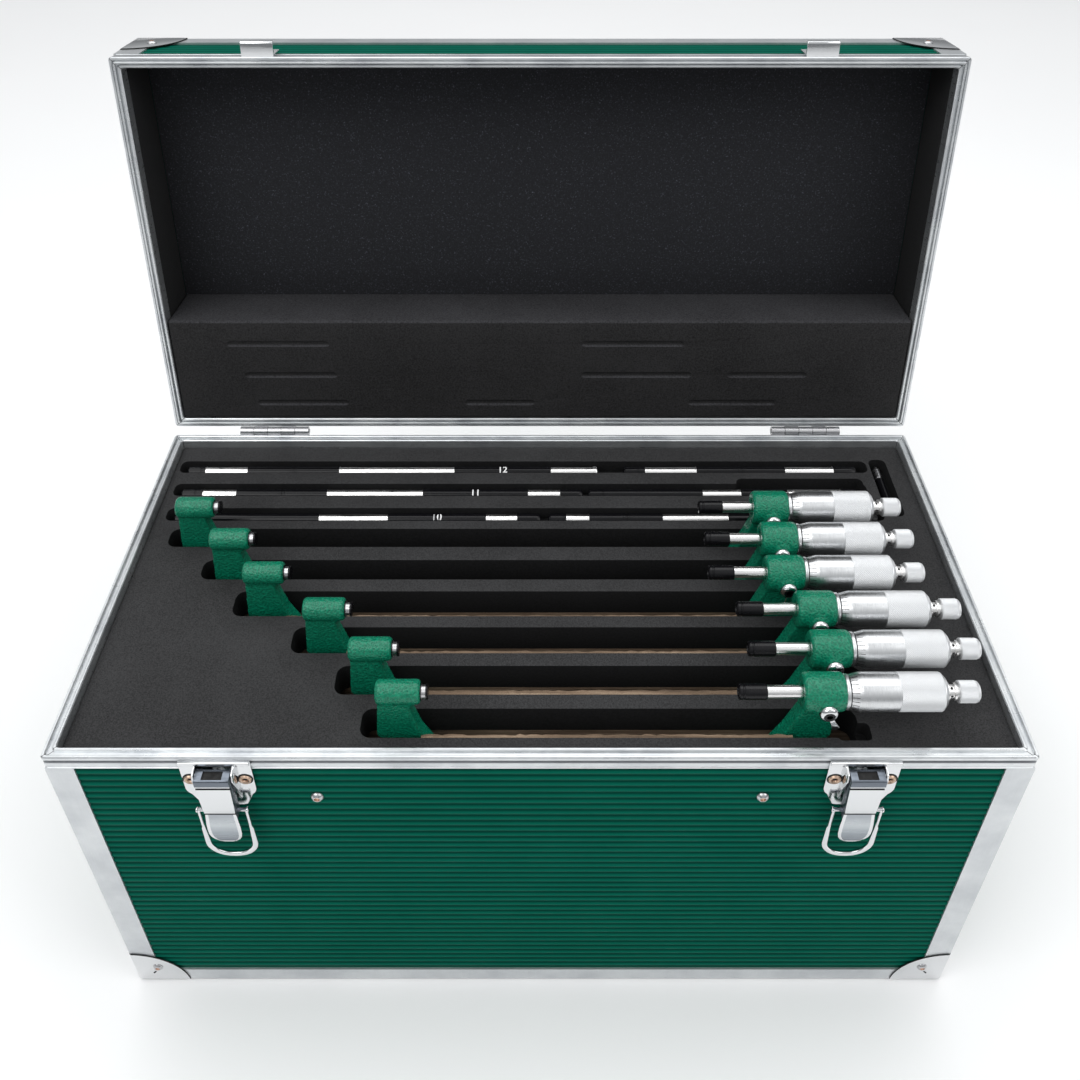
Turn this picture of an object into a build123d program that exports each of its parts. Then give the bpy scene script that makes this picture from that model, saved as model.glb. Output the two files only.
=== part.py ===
from build123d import *
import math
import os

# A fitted case for six outside micrometers and their setting rods.
# Millimetres. Origin at the middle of the underside, front towards -Y, lid hinged along the back.
# Every lid piece is built shut and then swung open, which is the rest position.

# ---- driving dimensions -------------------------------------------------------------------
case_w = 480.0
case_d = 240.0
body_h = 225.0
lid_h = 50.8
seam = 0.5
lid_open = 98.0

sheet = 1.2
wall_t = 3.4
rib_pitch = 5.0
rib_high = 0.6
edge_leg = 14.0
rail_up = 11.0
rim_w = 6.0
rim_lip = 9.0
rim_web = 3.0
cap_t = 0.8
cap_r = 31.0
board_t = 4.0

hinge_x = 175.0
hinge_len = 45.0
hinge_y = case_d / 2 + 3.5
hinge_z = body_h + seam / 2
knuckle_r = 3.0
pin_r = 1.5
fit = 0.12
slide_fit = 0.2

latch_x = 157.0
lever_pivot = (4.5, 217.0)
bail_pivot = (5.5, 190.0)
lever_half = 8.5
lever_pin_r = 1.2
tab_half = 7.6
tab_r = 7.0
bail_half = 12.0
bail_end_r = 1.0
bail_reach = 41.0
bail_flat = 2.6
bail_arm = 14.0
ear_z = (211.0, 219.5)

foam_top = 219.0
foam_t = 18.0
axis_z = foam_top + 25.0
pile = 0.3

# one column per micrometer, back row to front row
mic_y = (32.0, 6.5, -18.9, -44.4, -70.4, -96.4)
mic_tip_x = (92.0, 92.5, 91.4, 103.0, 105.0, 96.3)
mic_reach = (279.4, 254.0, 228.6, 203.2, 177.8, 152.4)
bow_width = (20.0, 20.0, 19.5, 19.0, 18.5, 18.0)
slot_w = (15.0, 15.0, 18.0, 17.5, 18.0, 17.0)
lock_turn = (45.0, 45.0, 90.0, 50.0, 50.0, 65.0)

# rods: row centre, then (left end, length, bare lengths measured from the left end)
rod_rows = (
    (95.0, ((-227.0, 265.0, ((12, 39), (98, 172), (234, 263))), (53.5, 150.0, ((14, 47), (104, 135))))),
    (73.7, ((-225.5, 252.5, ((14, 35), (92, 152), (218, 238))), (30.0, 170.0, ((72, 96), (125, 159))))),
    (51.8, ((-224.0, 224.5, ((89, 131), (191, 210))), (5.0, 202.0, ((11, 25), (70, 110))))),
)
rod_r = 4.0
rod_core_r = 3.5
groove_w = 11.0
groove_deep = 9.0
groove_end_x = (210.0, 205.0, 210.0)
spanner_x = 217.5
spanner_y = (52.0, 100.0)

half_w = case_w / 2
half_d = case_d / 2
os.makedirs("parts", exist_ok=True)


def save(node, *pieces):
    """Write every solid of the pieces as one named sub-part."""
    solids = [solid for piece in pieces for solid in piece.solids()]
    export_step(Compound(solids), f"parts/{node}.step")


def block(x, y, z):
    """A rectangular solid between the low and high value of each axis."""
    size = Box(x[1] - x[0], y[1] - y[0], z[1] - z[0])
    return Pos((x[0] + x[1]) / 2, (y[0] + y[1]) / 2, (z[0] + z[1]) / 2) * size


def plan(width, depth, cut):
    """A rectangle with its corners eased, or square ones where the cut is nothing."""
    sheet_plan = Rectangle(width, depth)
    return chamfer(sheet_plan.vertices(), cut) if cut > 0 else sheet_plan


def frame_ring(inset, wall, z, cut):
    """An upright rectangular ring, its outside inset from the case's outline."""
    outer = plan(case_w - 2 * inset, case_d - 2 * inset, cut)
    inner = plan(case_w - 2 * (inset + wall), case_d - 2 * (inset + wall), cut - wall)
    return Pos(0, 0, z[0]) * extrude(outer - inner, z[1] - z[0])


def turned(points, sides=10):
    """A turned solid about the X axis from its closed (x, radius) outline, drawn with flat sides."""
    turns = [2 * math.pi * n / sides for n in range(sides)]
    faces = []
    for (x0, r0), (x1, r1) in zip(points, points[1:] + points[:1]):
        for a, b in zip(turns, turns[1:] + turns[:1]):
            ring = [(x0, r0 * math.cos(a), r0 * math.sin(a)), (x1, r1 * math.cos(a), r1 * math.sin(a)),
                    (x1, r1 * math.cos(b), r1 * math.sin(b)), (x0, r0 * math.cos(b), r0 * math.sin(b))]
            corners = [corner for n, corner in enumerate(ring) if corner != ring[n - 1]]
            if len(corners) > 2:
                faces.append(Face(Wire.make_polygon(corners)))
    return Solid(Shell(faces))


def dome(radius, high, sides=8):
    """A shallow rivet head standing on z = 0."""
    return Rot(0, -90, 0) * turned([(0, 0), (0, radius), (high, radius * 0.5), (high, 0)], sides)


def prism(radius, length, sides=10):
    """A short round piece along Z, drawn with flat sides."""
    return extrude(RegularPolygon(radius, sides), length / 2, both=True)


def quarter_turns(centre, radius, start, steps=3):
    """Points of a quarter turn anticlockwise from the start angle in degrees."""
    turns = [math.radians(start + 90 * n / steps) for n in range(steps + 1)]
    return [(centre[0] + radius * math.cos(a), centre[1] + radius * math.sin(a)) for a in turns]


# ---- one open-topped half: the body, or the lid turned over --------------------------------
def ribbed_wall(length, foot_z, top_z, rib_half, rib_z):
    """A sheet in the XZ plane with fine level ribs pressed into its -Y face."""
    count = int((rib_z[1] - rib_z[0]) / rib_pitch)
    low = (rib_z[0] + rib_z[1] - count * rib_pitch) / 2
    wave = [(1.0, low)]
    for n in range(count):
        wave += [(0, low + n * rib_pitch), (-rib_high, low + (n + 0.5) * rib_pitch)]
    wave += [(0, low + count * rib_pitch), (1.0, low + count * rib_pitch)]
    ribs = extrude(Plane.YZ * make_face(Polyline(*wave, close=True)), rib_half, both=True)
    return block((-length / 2, length / 2), (0, wall_t), (foot_z, top_z)) + ribs


def corner_cap():
    """Three quarter-round leaves about the front left bottom corner, from one pressed plate."""
    leaf = extrude(RegularPolygon(cap_r, 20), cap_t) & block((0, cap_r), (0, cap_r), (0, cap_t))
    folded = leaf + Pos(0, cap_t, 0) * Rot(90, 0, 0) * leaf + Pos(cap_t, 0, 0) * Rot(0, -90, 0) * leaf
    return Pos(-half_w - cap_t, -half_d - cap_t, 0) * folded


def four_corners(shape):
    """The shape at each of the four corners of the plan."""
    beside = mirror(shape, Plane.YZ)
    return [shape, beside, mirror(shape, Plane.XZ), mirror(beside, Plane.XZ)]


def cap_rivets(height):
    """Rivet heads on the front and side leaves of the four corner caps."""
    front = Pos(-half_w + 14.0, -half_d - cap_t, height) * Rot(90, 0, 0) * dome(2.8, 1.4)
    side = Pos(-half_w - cap_t, -half_d + 14.0, height) * Rot(0, -90, 0) * dome(2.8, 1.4)
    return four_corners(front) + four_corners(side)


def case_half(height):
    """Board, walls, edge profiles, rim and corner caps of one half, its board underneath."""
    floor = cap_t + sheet
    skin = half_w - sheet
    skin_d = half_d - sheet
    wall_z = (floor + board_t, height - rim_web - 0.2)
    rib_z = (cap_t + rail_up, height - rim_lip)
    board = block((-skin, skin), (-skin_d, skin_d), (floor, floor + board_t))
    tray = block((-half_w + edge_leg + 0.5, half_w - edge_leg - 0.5),
                 (-half_d + edge_leg + 0.5, half_d - edge_leg - 0.5), (0, floor + 1))
    for cut in four_corners(Pos(-half_w, -half_d, 0) * prism(cap_r + 1, 8, 16)):
        tray -= cut
    board += tray
    long_wall = ribbed_wall(2 * skin, *wall_z, half_w - edge_leg, rib_z)
    end_wall = ribbed_wall(2 * (skin_d - wall_t), *wall_z, half_d - edge_leg, rib_z)
    rail = frame_ring(0, sheet, (cap_t, cap_t + rail_up), sheet)
    rail += frame_ring(0, edge_leg, (cap_t, cap_t + sheet), sheet)
    post = block((-half_w, -half_w + edge_leg), (-half_d, -half_d + edge_leg), rib_z)
    post -= block((-half_w + sheet, 0), (-half_d + sheet, 0), (0, height))
    rim = frame_ring(0, rim_w, (height - rim_lip, height), 2.0)
    rim -= frame_ring(1.0, rim_w - 2.0, (height - rim_lip, height - rim_web), 0)
    return {
        "board": board,
        "front": Pos(0, -skin_d, 0) * long_wall,
        "rear": Pos(0, skin_d, 0) * Rot(0, 0, 180) * long_wall,
        "ends": [Pos(skin, 0, 0) * Rot(0, 0, 90) * end_wall, Pos(-skin, 0, 0) * Rot(0, 0, -90) * end_wall],
        "edges": [rail] + four_corners(post),
        "rim": rim,
        "caps": four_corners(corner_cap()),
    }


body = case_half(body_h)
groove = frame_ring(1.8, 2.4, (body_h - 1.6, body_h), 1.2)
save("base_board", body["board"])
save("front_panel", body["front"])
save("rear_panel", body["rear"])
save("end_panels", *body["ends"])
save("body_edge_profiles", *body["edges"])
save("body_rim", body["rim"] - groove)
save("body_corner_caps", *body["caps"])
rivet_y = -half_d + sheet - rib_high
panel_rivets = [Pos(x, rivet_y, 191.0) * Rot(90, 0, 0) * dome(3.1, 2.0) for x in (-111.0, 111.0)]
panel_rivets += [mirror(rivet, Plane.XZ) for rivet in panel_rivets]
save("body_rivets", *panel_rivets, *cap_rivets(17.0))

# ---- the lid, built shut, then swung about the hinge line -----------------------------------
hinge_line = Axis((0, hinge_y, hinge_z), (1, 0, 0))
lid_top = body_h + seam + lid_h


def swing(shape):
    """A shut lid piece in its open place."""
    return shape.rotate(hinge_line, -lid_open)


def turn_over(shape):
    """A piece of an upright half as it lies in the shut lid."""
    return Pos(0, 0, lid_top) * Rot(180, 0, 0) * shape


half = case_half(lid_h)
tongue = frame_ring(2.2, 1.6, (lid_h - 1, lid_h + 1.2), 1.0)
save("lid_top_panel", swing(turn_over(half["board"])))
save("lid_walls", *[swing(turn_over(wall)) for wall in (half["front"], half["rear"], *half["ends"])])
save("lid_edge_profiles", *[swing(turn_over(edge)) for edge in half["edges"]])
save("lid_rim", swing(turn_over(half["rim"] + tongue)))
save("lid_corner_caps", *[swing(turn_over(cap)) for cap in half["caps"]],
     *[swing(turn_over(rivet)) for rivet in cap_rivets(17.0)])

lining_t = 1.2
well_w = half_w - rim_w
well_d = half_d - rim_w
well_top = lid_top - cap_t - sheet - board_t
lining_z = (body_h + seam + rim_lip + 0.3, well_top - 2.0)
lining = [block((-well_w, well_w), (-well_d, well_d), (well_top - 2.0, well_top - pile / 3))]
for side in (-1, 1):
    wall_x = sorted((side * well_w, side * (well_w + lining_t)))
    wall_y = sorted((side * well_d, side * (well_d + lining_t)))
    lining.append(block(wall_x, (-well_d, well_d), lining_z))
    lining.append(block((-well_w, well_w), wall_y, lining_z))
save("lid_lining", *[swing(piece) for piece in lining])

foam_block_d = 71.0
foam_block = block((-well_w + pile, well_w - pile), (well_d - foam_block_d, well_d - pile),
                   (body_h + seam + pile, well_top - 2.0 - pile))
save("lid_foam_block", swing(foam_block))


# ---- hinges ---------------------------------------------------------------------------------
def knuckle(x, bore):
    """One hinge barrel along X on the hinge line."""
    tube = prism(knuckle_r, x[1] - x[0], 8) - prism(bore, x[1] - x[0], 8)
    return Pos((x[0] + x[1]) / 2, hinge_y, hinge_z) * Rot(0, 90, 0) * tube


def hinge_leaf(centre, order, sign, bore):
    """A leaf on the outside of the back with its barrels; sign -1 hangs down, +1 stands up."""
    step = hinge_len / 5
    gap = 0.15
    far = hinge_z + sign * 21.0
    near = hinge_z + sign * (knuckle_r + 0.5)
    across = (centre - hinge_len / 2, centre + hinge_len / 2)
    leaf = block(across, (half_d, half_d + 1.4), sorted((near, far)))
    for n in order:
        low = centre - hinge_len / 2 + n * step + gap
        span = (low, low + step - 2 * gap)
        root_z = sorted((near, hinge_z + sign * 0.4))
        leaf += block(span, (half_d, half_d + 1.4), root_z) + knuckle(span, knuckle_r - 0.4)
        leaf -= Pos(sum(span) / 2, hinge_y, hinge_z) * Rot(0, 90, 0) * prism(bore, 9, 8)
        leaf += knuckle(span, bore)
    return leaf


centres = (-hinge_x, hinge_x)
save("hinge_body_leaves", *[hinge_leaf(x, (0, 2, 4), -1, pin_r + 2 * fit) for x in centres])
save("hinge_lid_leaves", *[swing(hinge_leaf(x, (1, 3), 1, pin_r + 2 * fit)) for x in centres])
save("hinge_pins", *[Pos(x, hinge_y, hinge_z) * Rot(0, 90, 0) * Cylinder(pin_r, hinge_len) for x in centres])


# ---- draw latches ---------------------------------------------------------------------------
def out_block(x, out, z):
    """A block given by its distance out from the front face instead of by Y."""
    return block(x, (-half_d - out[1], -half_d - out[0]), z)


def cross_pin(half, radius, place):
    """A pin along X at a (distance out, height) place."""
    return Pos(0, -half_d - place[0], place[1]) * Rot(0, 90, 0) * Cylinder(radius, 2 * half)


def cross_hole(radius, place):
    """The hole for such a pin, drawn with flat sides."""
    return Pos(0, -half_d - place[0], place[1]) * Rot(0, 90, 0) * prism(radius, 40, 10)


def flat_on_front(outline, out):
    """An XZ outline made a plate between two distances out from the front face."""
    return Pos(0, -half_d - out[0], 0) * extrude(Plane.XZ * outline, out[1] - out[0])


def latch_plate():
    """Shield-shaped base with two ears for the lever's pin, and two hollow eyelets."""
    shield = make_face(Polyline((-17.5, 223), (17.5, 223), (17.5, 205), (11, 187), (-11, 187), (-17.5, 205),
                                close=True))
    shield = chamfer(shield.vertices().sort_by(Axis.Y)[0:4], 2)
    plate = flat_on_front(shield, (0, 1.0))
    ear = out_block((lever_half + 0.3, lever_half + 1.3), (0.5, 7.5), ear_z)
    eyelet = prism(3.0, 1.6, 8) - prism(1.1, 1.6, 6)
    eyelets = [Pos(x, -half_d - 1.8, 209) * Rot(90, 0, 0) * eyelet for x in (-13.4, 13.4)]
    pin = cross_pin(lever_half + 0.3, lever_pin_r, lever_pivot)
    return [plate + ear + mirror(ear, Plane.YZ) + pin] + eyelets


def latch_lever():
    """Pressed lever: a flat face with turned-in sides, and a round-ended thumb tab below."""
    tab = quarter_turns((-tab_half + tab_r, 166 + tab_r), tab_r, 180)
    tab += quarter_turns((tab_half - tab_r, 166 + tab_r), tab_r, 270)
    outline = [(-lever_half, 219), (-tab_half, 194)] + tab + [(tab_half, 194), (lever_half, 219)]
    lever = flat_on_front(make_face(Polyline(*outline, close=True)), (8.0, 9.2))
    side = out_block((lever_half - 1.1, lever_half), (2.5, 9.2), (187, 219))
    lever += side + mirror(side, Plane.YZ)
    lever -= out_block((-5, 5), (7, 10), (213.5, 217.0))
    lever -= cross_hole(lever_pin_r + fit, lever_pivot)
    return lever - cross_hole(bail_end_r + fit, bail_pivot)


def latch_bail():
    """D-shaped loop with its ends turned in to the lever, its lower part flattened wider."""
    top = bail_pivot[1]
    low = top - bail_reach
    outer_r = bail_half
    inner_r = bail_half - bail_flat
    left_turn = (-1.0, low + outer_r)
    right_turn = (1.0, low + outer_r)
    outside = quarter_turns(left_turn, outer_r, 180) + quarter_turns(right_turn, outer_r, 270)
    inside = quarter_turns(left_turn, inner_r, 180) + quarter_turns(right_turn, inner_r, 270)
    arm_out = bail_half + 1.0
    arm_in = bail_half - 1.0
    shoulder = top - bail_arm
    outline = [(-arm_out, top + 1)] + outside + [(arm_out, top + 1), (arm_in, top + 1), (arm_in, shoulder)]
    outline += inside[::-1] + [(-arm_in, shoulder), (-arm_in, top + 1)]
    loop = flat_on_front(make_face(Polyline(*outline, close=True)), (bail_pivot[0] - 1, bail_pivot[0] + 1))
    for side in (-1, 1):
        loop += Pos(side * (bail_half - 2.7), 0, 0) * cross_pin(2.2, bail_end_r, bail_pivot)
    return loop


keeper_z = bail_pivot[1] + bail_reach - 3.5
keeper = out_block((-10, 10), (0, 1.2), (keeper_z - 1.5, keeper_z + 14))
keeper += out_block((-8, 8), (1.0, 8.6), (keeper_z - 1.5, keeper_z))
keeper += out_block((-8, 8), (7.6, 8.6), (keeper_z - 1.5, keeper_z + 2.2))
sides = {"left": -latch_x, "right": latch_x}
save("latch_plates", *[Pos(x, 0, 0) * piece for x in sides.values() for piece in latch_plate()])
save("latch_keepers", *[swing(Pos(x, 0, 0) * keeper) for x in sides.values()])
for name, x in sides.items():
    save(f"latch_lever_{name}", Pos(x, 0, 0) * latch_lever())
    save(f"latch_bail_{name}", Pos(x, 0, 0) * latch_bail())

# ---- carrying handle on the lid -------------------------------------------------------------
handle_half = 62.0
handle_z = lid_top + 5.5
handle_drop = 34.0
post_hole = 2.3
bracket = block((handle_half - 1, handle_half + 9), (-9, 9), (lid_top, lid_top + 1.6))
bracket += block((handle_half + 1, handle_half + 6), (-4.5, 4.5), (lid_top, handle_z + 4.5))
bracket -= Pos(handle_half, 0, handle_z) * Rot(0, 90, 0) * prism(post_hole + fit, 30)
save("handle_brackets", swing(bracket), swing(mirror(bracket, Plane.YZ)))

pivot = swing(Pos(0, 0, handle_z) * Box(1, 1, 1)).center()
top = (pivot.Y, pivot.Z)
bar_half = handle_half + 5.5
arm_x = handle_half - 4
bar_z = top[1] - handle_drop
half_strap = [(arm_x - 3, top[0], bar_z), (arm_x, top[0], bar_z + 3), (arm_x, top[0], top[1] - 2),
              (arm_x + 2, top[0], top[1])]
strap = Polyline(*[(-x, y, z) for x, y, z in reversed(half_strap)], *half_strap)
section = Plane(origin=strap @ 0, z_dir=strap % 0) * RegularPolygon(post_hole, 6)
handle = sweep(section, path=strap, transition=Transition.RIGHT)
for side in (-1, 1):
    handle += Pos(side * (arm_x + bar_half) / 2, *top) * Rot(0, 90, 0) * Cylinder(post_hole, bar_half - arm_x)
grip = extrude(chamfer(Rectangle(15, 11).vertices(), 3), 2 * handle_half - 24)
handle += Pos(-handle_half + 12, top[0], bar_z) * Rot(0, 90, 0) * grip
save("carry_handle", handle)


# ---- foam, boards and rests inside the body -------------------------------------------------
def bow_of(n):
    """Left end, head end, arc centre x, inner radius and outer radius of a micrometer's bow."""
    left = mic_tip_x[n] - mic_reach[n] - 24.0
    head = mic_tip_x[n] + 31.0
    inner_left = left + bow_width[n] - 1.0
    half_span = (head - inner_left) / 2
    inner_r = math.hypot(half_span, bow_rise)
    return left, head, inner_left + half_span, inner_r, inner_r + bow_width[n]


bow_rise = 25.0
head_len = 20.5
foam_w = well_w - pile
foam_d = well_d - pile
tray = block((-foam_w, foam_w), (-foam_d, foam_d), (foam_top - foam_t, foam_top))
for n in range(6):
    left, head, centre_x, inner_r, outer_r = bow_of(n)
    run = (left - 9.5, head + head_len + 11.0)
    slot = Pos(sum(run) / 2, mic_y[n], 0) * plan(run[1] - run[0], slot_w[n], 4)
    tray -= Pos(0, 0, foam_top - foam_t - 1) * extrude(slot, foam_t + 2)
groove_z = foam_top - groove_deep
for (row_y, rods), end_x in zip(rod_rows, groove_end_x):
    run = (rods[0][0] - 4.0, end_x)
    channel = Pos(sum(run) / 2, row_y, 0) * plan(run[1] - run[0], groove_w, 3)
    tray -= Pos(0, 0, groove_z) * extrude(channel, groove_deep + 1)
finger = Pos(164, 76.5, 0) * plan(80, 15, 3)
tray -= Pos(0, 0, groove_z) * extrude(finger, groove_deep + 1)
key_slot = Pos(spanner_x, sum(spanner_y) / 2, 0) * plan(11, spanner_y[1] - spanner_y[0] + 4, 3)
tray -= Pos(0, 0, groove_z) * extrude(key_slot, groove_deep + 1)
save("foam_tray", tray)

board_floor = cap_t + sheet + board_t
board_top = foam_top - foam_t
boards = []
edges = [half_d - sheet - wall_t]
for y, width in zip(mic_y, slot_w):
    edges += [y + width / 2, y - width / 2]
edges.append(-half_d + sheet + wall_t)
for n in range(7):
    back, front = edges[2 * n], edges[2 * n + 1]
    if n == 0:
        boards.append(block((-foam_w, foam_w), (back - 9, back), (board_floor, board_top)))
        back = front + 9
    boards.append(block((-foam_w, foam_w), (front, back), (board_floor, board_top)))
save("partition_boards", *boards)

rests = []
for n in range(6):
    left, head, centre_x, inner_r, outer_r = bow_of(n)
    bow_bottom = axis_z + bow_rise - outer_r
    half_y = slot_w[n] / 2 - 0.5
    rests.append(block((centre_x - 40, centre_x + 40), (mic_y[n] - half_y, mic_y[n] + half_y),
                       (board_floor, bow_bottom - pile)))
save("bottom_foam", *rests)

# ---- setting rods and spanner ---------------------------------------------------------------
rod_z = groove_z + rod_r + pile
inch = 25.4


def setting_rod(length, bare):
    """A ground rod in a black sleeve that leaves short bare lengths."""
    points = [(0, 0), (0, rod_r)]
    for low, high in bare:
        points += [(low, rod_r), (low, rod_core_r), (high, rod_core_r), (high, rod_r)]
    return turned(points + [(length, rod_r), (length, 0)], 8)


for row, (row_y, rods) in enumerate(rod_rows, 1):
    for side, (left, length, bare) in zip(("left", "right"), rods):
        save(f"setting_rod_{row}_{side}", Pos(left, row_y, rod_z) * setting_rod(length, bare))

grip_half = (spanner_y[1] - spanner_y[0]) / 2
key = prism(2.6, 2 * grip_half - 12, 6) + prism(1.8, 2 * grip_half, 6)
save("spanner", Pos(spanner_x, sum(spanner_y) / 2, groove_z + 3.0) * Rot(90, 0, 0) * key)

# ---- micrometers ----------------------------------------------------------------------------
bow_sides = 32
bow_t = 9.0
web_t = 6.0
flange = 3.5
anvil_boss_r = 6.0
head_r = 9.5
spindle_r = 3.2
spindle_out = 31.0
travel = 25.4
tip_cap_r = 3.9
tip_cap_len = 14.0
barrel_r = 7.4
barrel_len = 40.0
skirt = 2.2
edge_r = 8.0
thimble_r = 9.4
lock_pin_r = 1.2
lock_y = -10.3


def turned_at(x, points, sides=10):
    """A turned piece on the micrometer's own axis, its points counted from x."""
    return Pos(x, 0, axis_z) * turned(points, sides)


def lock_place(n):
    """The foot of the lock's pin on the front of the head."""
    return Pos(bow_of(n)[1] + head_len / 2 + 1, lock_y, axis_z - 2)


def micrometer_frame(n):
    """Cast bow with recessed sides, both bosses, the anvil, and the graduated barrel."""
    left, head, centre_x, inner_r, outer_r = bow_of(n)
    below = Pos(0, -bow_rise - outer_r / 2) * Rectangle(2 * outer_r, outer_r)
    deeper = Pos(0, -bow_rise - 14 - outer_r / 2) * Rectangle(2 * outer_r, outer_r)
    bow = (RegularPolygon(outer_r, bow_sides) - RegularPolygon(inner_r, bow_sides)) & below
    pocket = RegularPolygon(outer_r - flange, bow_sides) - RegularPolygon(inner_r + flange, bow_sides)
    pocket = pocket & deeper
    casting = extrude(Plane.XZ * bow, bow_t / 2, both=True)
    depth = (bow_t - web_t) / 2
    for y in (-bow_t / 2 + depth, bow_t / 2):
        casting -= Pos(0, y, 0) * extrude(Plane.XZ * pocket, depth)
    casting = Pos(centre_x, 0, axis_z + bow_rise) * casting
    casting += turned_at(left, [(0, 0), (0, anvil_boss_r), (22, anvil_boss_r), (22, 0)])
    casting += turned_at(head, [(0, 0), (0, head_r), (head_len, head_r), (head_len, 0)])
    casting += lock_place(n) * Pos(0, 2.3, 0) * Rot(90, 0, 0) * prism(5.0, 4.4)
    bore = spindle_r + slide_fit
    cap_room = tip_cap_r + 0.4
    cap_end = tip_cap_len + travel - spindle_out + 1.0
    casting -= turned_at(head, [(-3, 0), (-3, cap_room), (cap_end, cap_room), (cap_end, bore),
                                (head_len + 1, bore), (head_len + 1, 0)])
    casting -= lock_place(n) * Pos(0, 2.5, 0) * Rot(90, 0, 0) * prism(lock_pin_r + fit, 5.0, 8)
    anvil = turned_at(left + 22, [(0, 0), (0, 3.7), (2, 3.7), (2, 0)])
    barrel = turned_at(head + head_len, [(0, bore), (0, 8.6), (skirt - 0.3, 8.6), (skirt - 0.3, barrel_r),
                                         (barrel_len, barrel_r), (barrel_len, bore)], 8)
    return [Pos(0, mic_y[n], 0) * piece for piece in (casting, anvil, barrel)]


def lock_lever(n):
    """Round lock head with a hexagon socket and a short flat lever, on its pin."""
    pin = Pos(0, 2.3, 0) * Rot(90, 0, 0) * prism(lock_pin_r, 4.6, 8)
    disc = prism(4.3, 3.0) - Pos(0, 0, 1.2) * prism(2.0, 1.2, 6)
    arm = Pos(6.2, 0, -0.2) * Box(7.4, 2.8, 1.8)
    knob = Pos(0, -1.5, 0) * Rot(0, lock_turn[n], 0) * Rot(90, 0, 0) * (disc + arm)
    return Pos(0, mic_y[n], 0) * lock_place(n) * (pin + knob)


def spindle(n):
    """Spindle and the soft cap over its measuring end."""
    tip = mic_tip_x[n]
    far = spindle_out + head_len + skirt + 43.5
    shaft = turned_at(tip, [(2, 0), (2, spindle_r), (far, spindle_r), (far, 0)], 8)
    cap = turned_at(tip, [(0, 0), (0, tip_cap_r - 0.9), (0.8, tip_cap_r), (tip_cap_len, tip_cap_r),
                          (tip_cap_len, spindle_r), (2, spindle_r), (2, 0)], 8)
    return [Pos(0, mic_y[n], 0) * piece for piece in (shaft, cap)]


def thimble(n):
    """Thimble with bevelled edge, round neck and ratchet stop."""
    start = mic_tip_x[n] + spindle_out + head_len + skirt
    inner = barrel_r + 0.4
    bore = spindle_r + slide_fit
    outside = [(0, edge_r), (5, thimble_r), (44.5, thimble_r), (46.5, thimble_r - 2), (46.5, 3.4)]
    ratchet = [(52.8, 3.4), (52.8, 5.2), (62.3, 5.4), (63.3, 4.6), (63.3, 0)]
    inside = [(45, 0), (45, bore), (42, bore), (42, inner)]
    sleeve = turned_at(start, [(0, inner)] + outside + ratchet + inside)
    return Pos(0, mic_y[n], 0) * sleeve


for n in range(6):
    reach = round(mic_reach[n] / inch) + 1
    save(f"frame_{reach}_inch", *micrometer_frame(n))
    save(f"spindle_{reach}_inch", *spindle(n))
    save(f"thimble_{reach}_inch", thimble(n))
    save(f"lock_lever_{reach}_inch", lock_lever(n))
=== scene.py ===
import math

import bmesh
import bpy
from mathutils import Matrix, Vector


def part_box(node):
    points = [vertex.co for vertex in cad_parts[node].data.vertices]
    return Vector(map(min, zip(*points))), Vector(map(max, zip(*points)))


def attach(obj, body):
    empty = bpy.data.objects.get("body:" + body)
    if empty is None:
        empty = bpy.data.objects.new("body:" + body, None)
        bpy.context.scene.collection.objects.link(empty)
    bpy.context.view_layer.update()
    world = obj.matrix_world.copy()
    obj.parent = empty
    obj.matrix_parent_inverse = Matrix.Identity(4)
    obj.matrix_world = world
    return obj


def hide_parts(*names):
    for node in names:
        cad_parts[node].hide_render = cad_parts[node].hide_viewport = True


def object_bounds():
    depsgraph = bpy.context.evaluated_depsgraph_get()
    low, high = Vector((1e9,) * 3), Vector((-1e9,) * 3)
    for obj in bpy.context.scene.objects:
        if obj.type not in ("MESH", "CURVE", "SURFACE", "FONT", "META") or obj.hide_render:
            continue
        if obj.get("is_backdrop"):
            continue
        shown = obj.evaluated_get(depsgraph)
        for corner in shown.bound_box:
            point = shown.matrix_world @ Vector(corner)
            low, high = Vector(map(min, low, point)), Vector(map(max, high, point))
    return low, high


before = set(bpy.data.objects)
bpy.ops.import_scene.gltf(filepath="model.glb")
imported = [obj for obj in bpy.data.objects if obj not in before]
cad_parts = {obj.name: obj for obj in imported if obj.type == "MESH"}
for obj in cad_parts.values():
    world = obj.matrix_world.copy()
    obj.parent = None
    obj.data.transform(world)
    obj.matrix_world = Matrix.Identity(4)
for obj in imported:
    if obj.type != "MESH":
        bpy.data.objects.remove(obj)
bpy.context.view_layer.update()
bpy.ops.object.select_all(action="DESELECT")
mm = 0.001

# ---- Ribbed green walls ----------------------------------------------------------------------
# Thin laminate sheets, held in the aluminium profiles on every side of the body and the lid. The
# walls have fine level ribs; their green carries painted light on each rib and painted shade in the valley
# beside it.


def new_finish(name, colour, metallic, roughness, gloss=0.5):
    """A material with its shader, ready for the pattern that each finish adds."""
    material = bpy.data.materials.new(name)
    material.use_nodes = True
    shader = material.node_tree.nodes["Principled BSDF"]
    shader.inputs["Base Color"].default_value = (*colour, 1)
    shader.inputs["Metallic"].default_value = metallic
    shader.inputs["Roughness"].default_value = roughness
    shader.inputs["Specular IOR Level"].default_value = gloss
    return material


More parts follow.
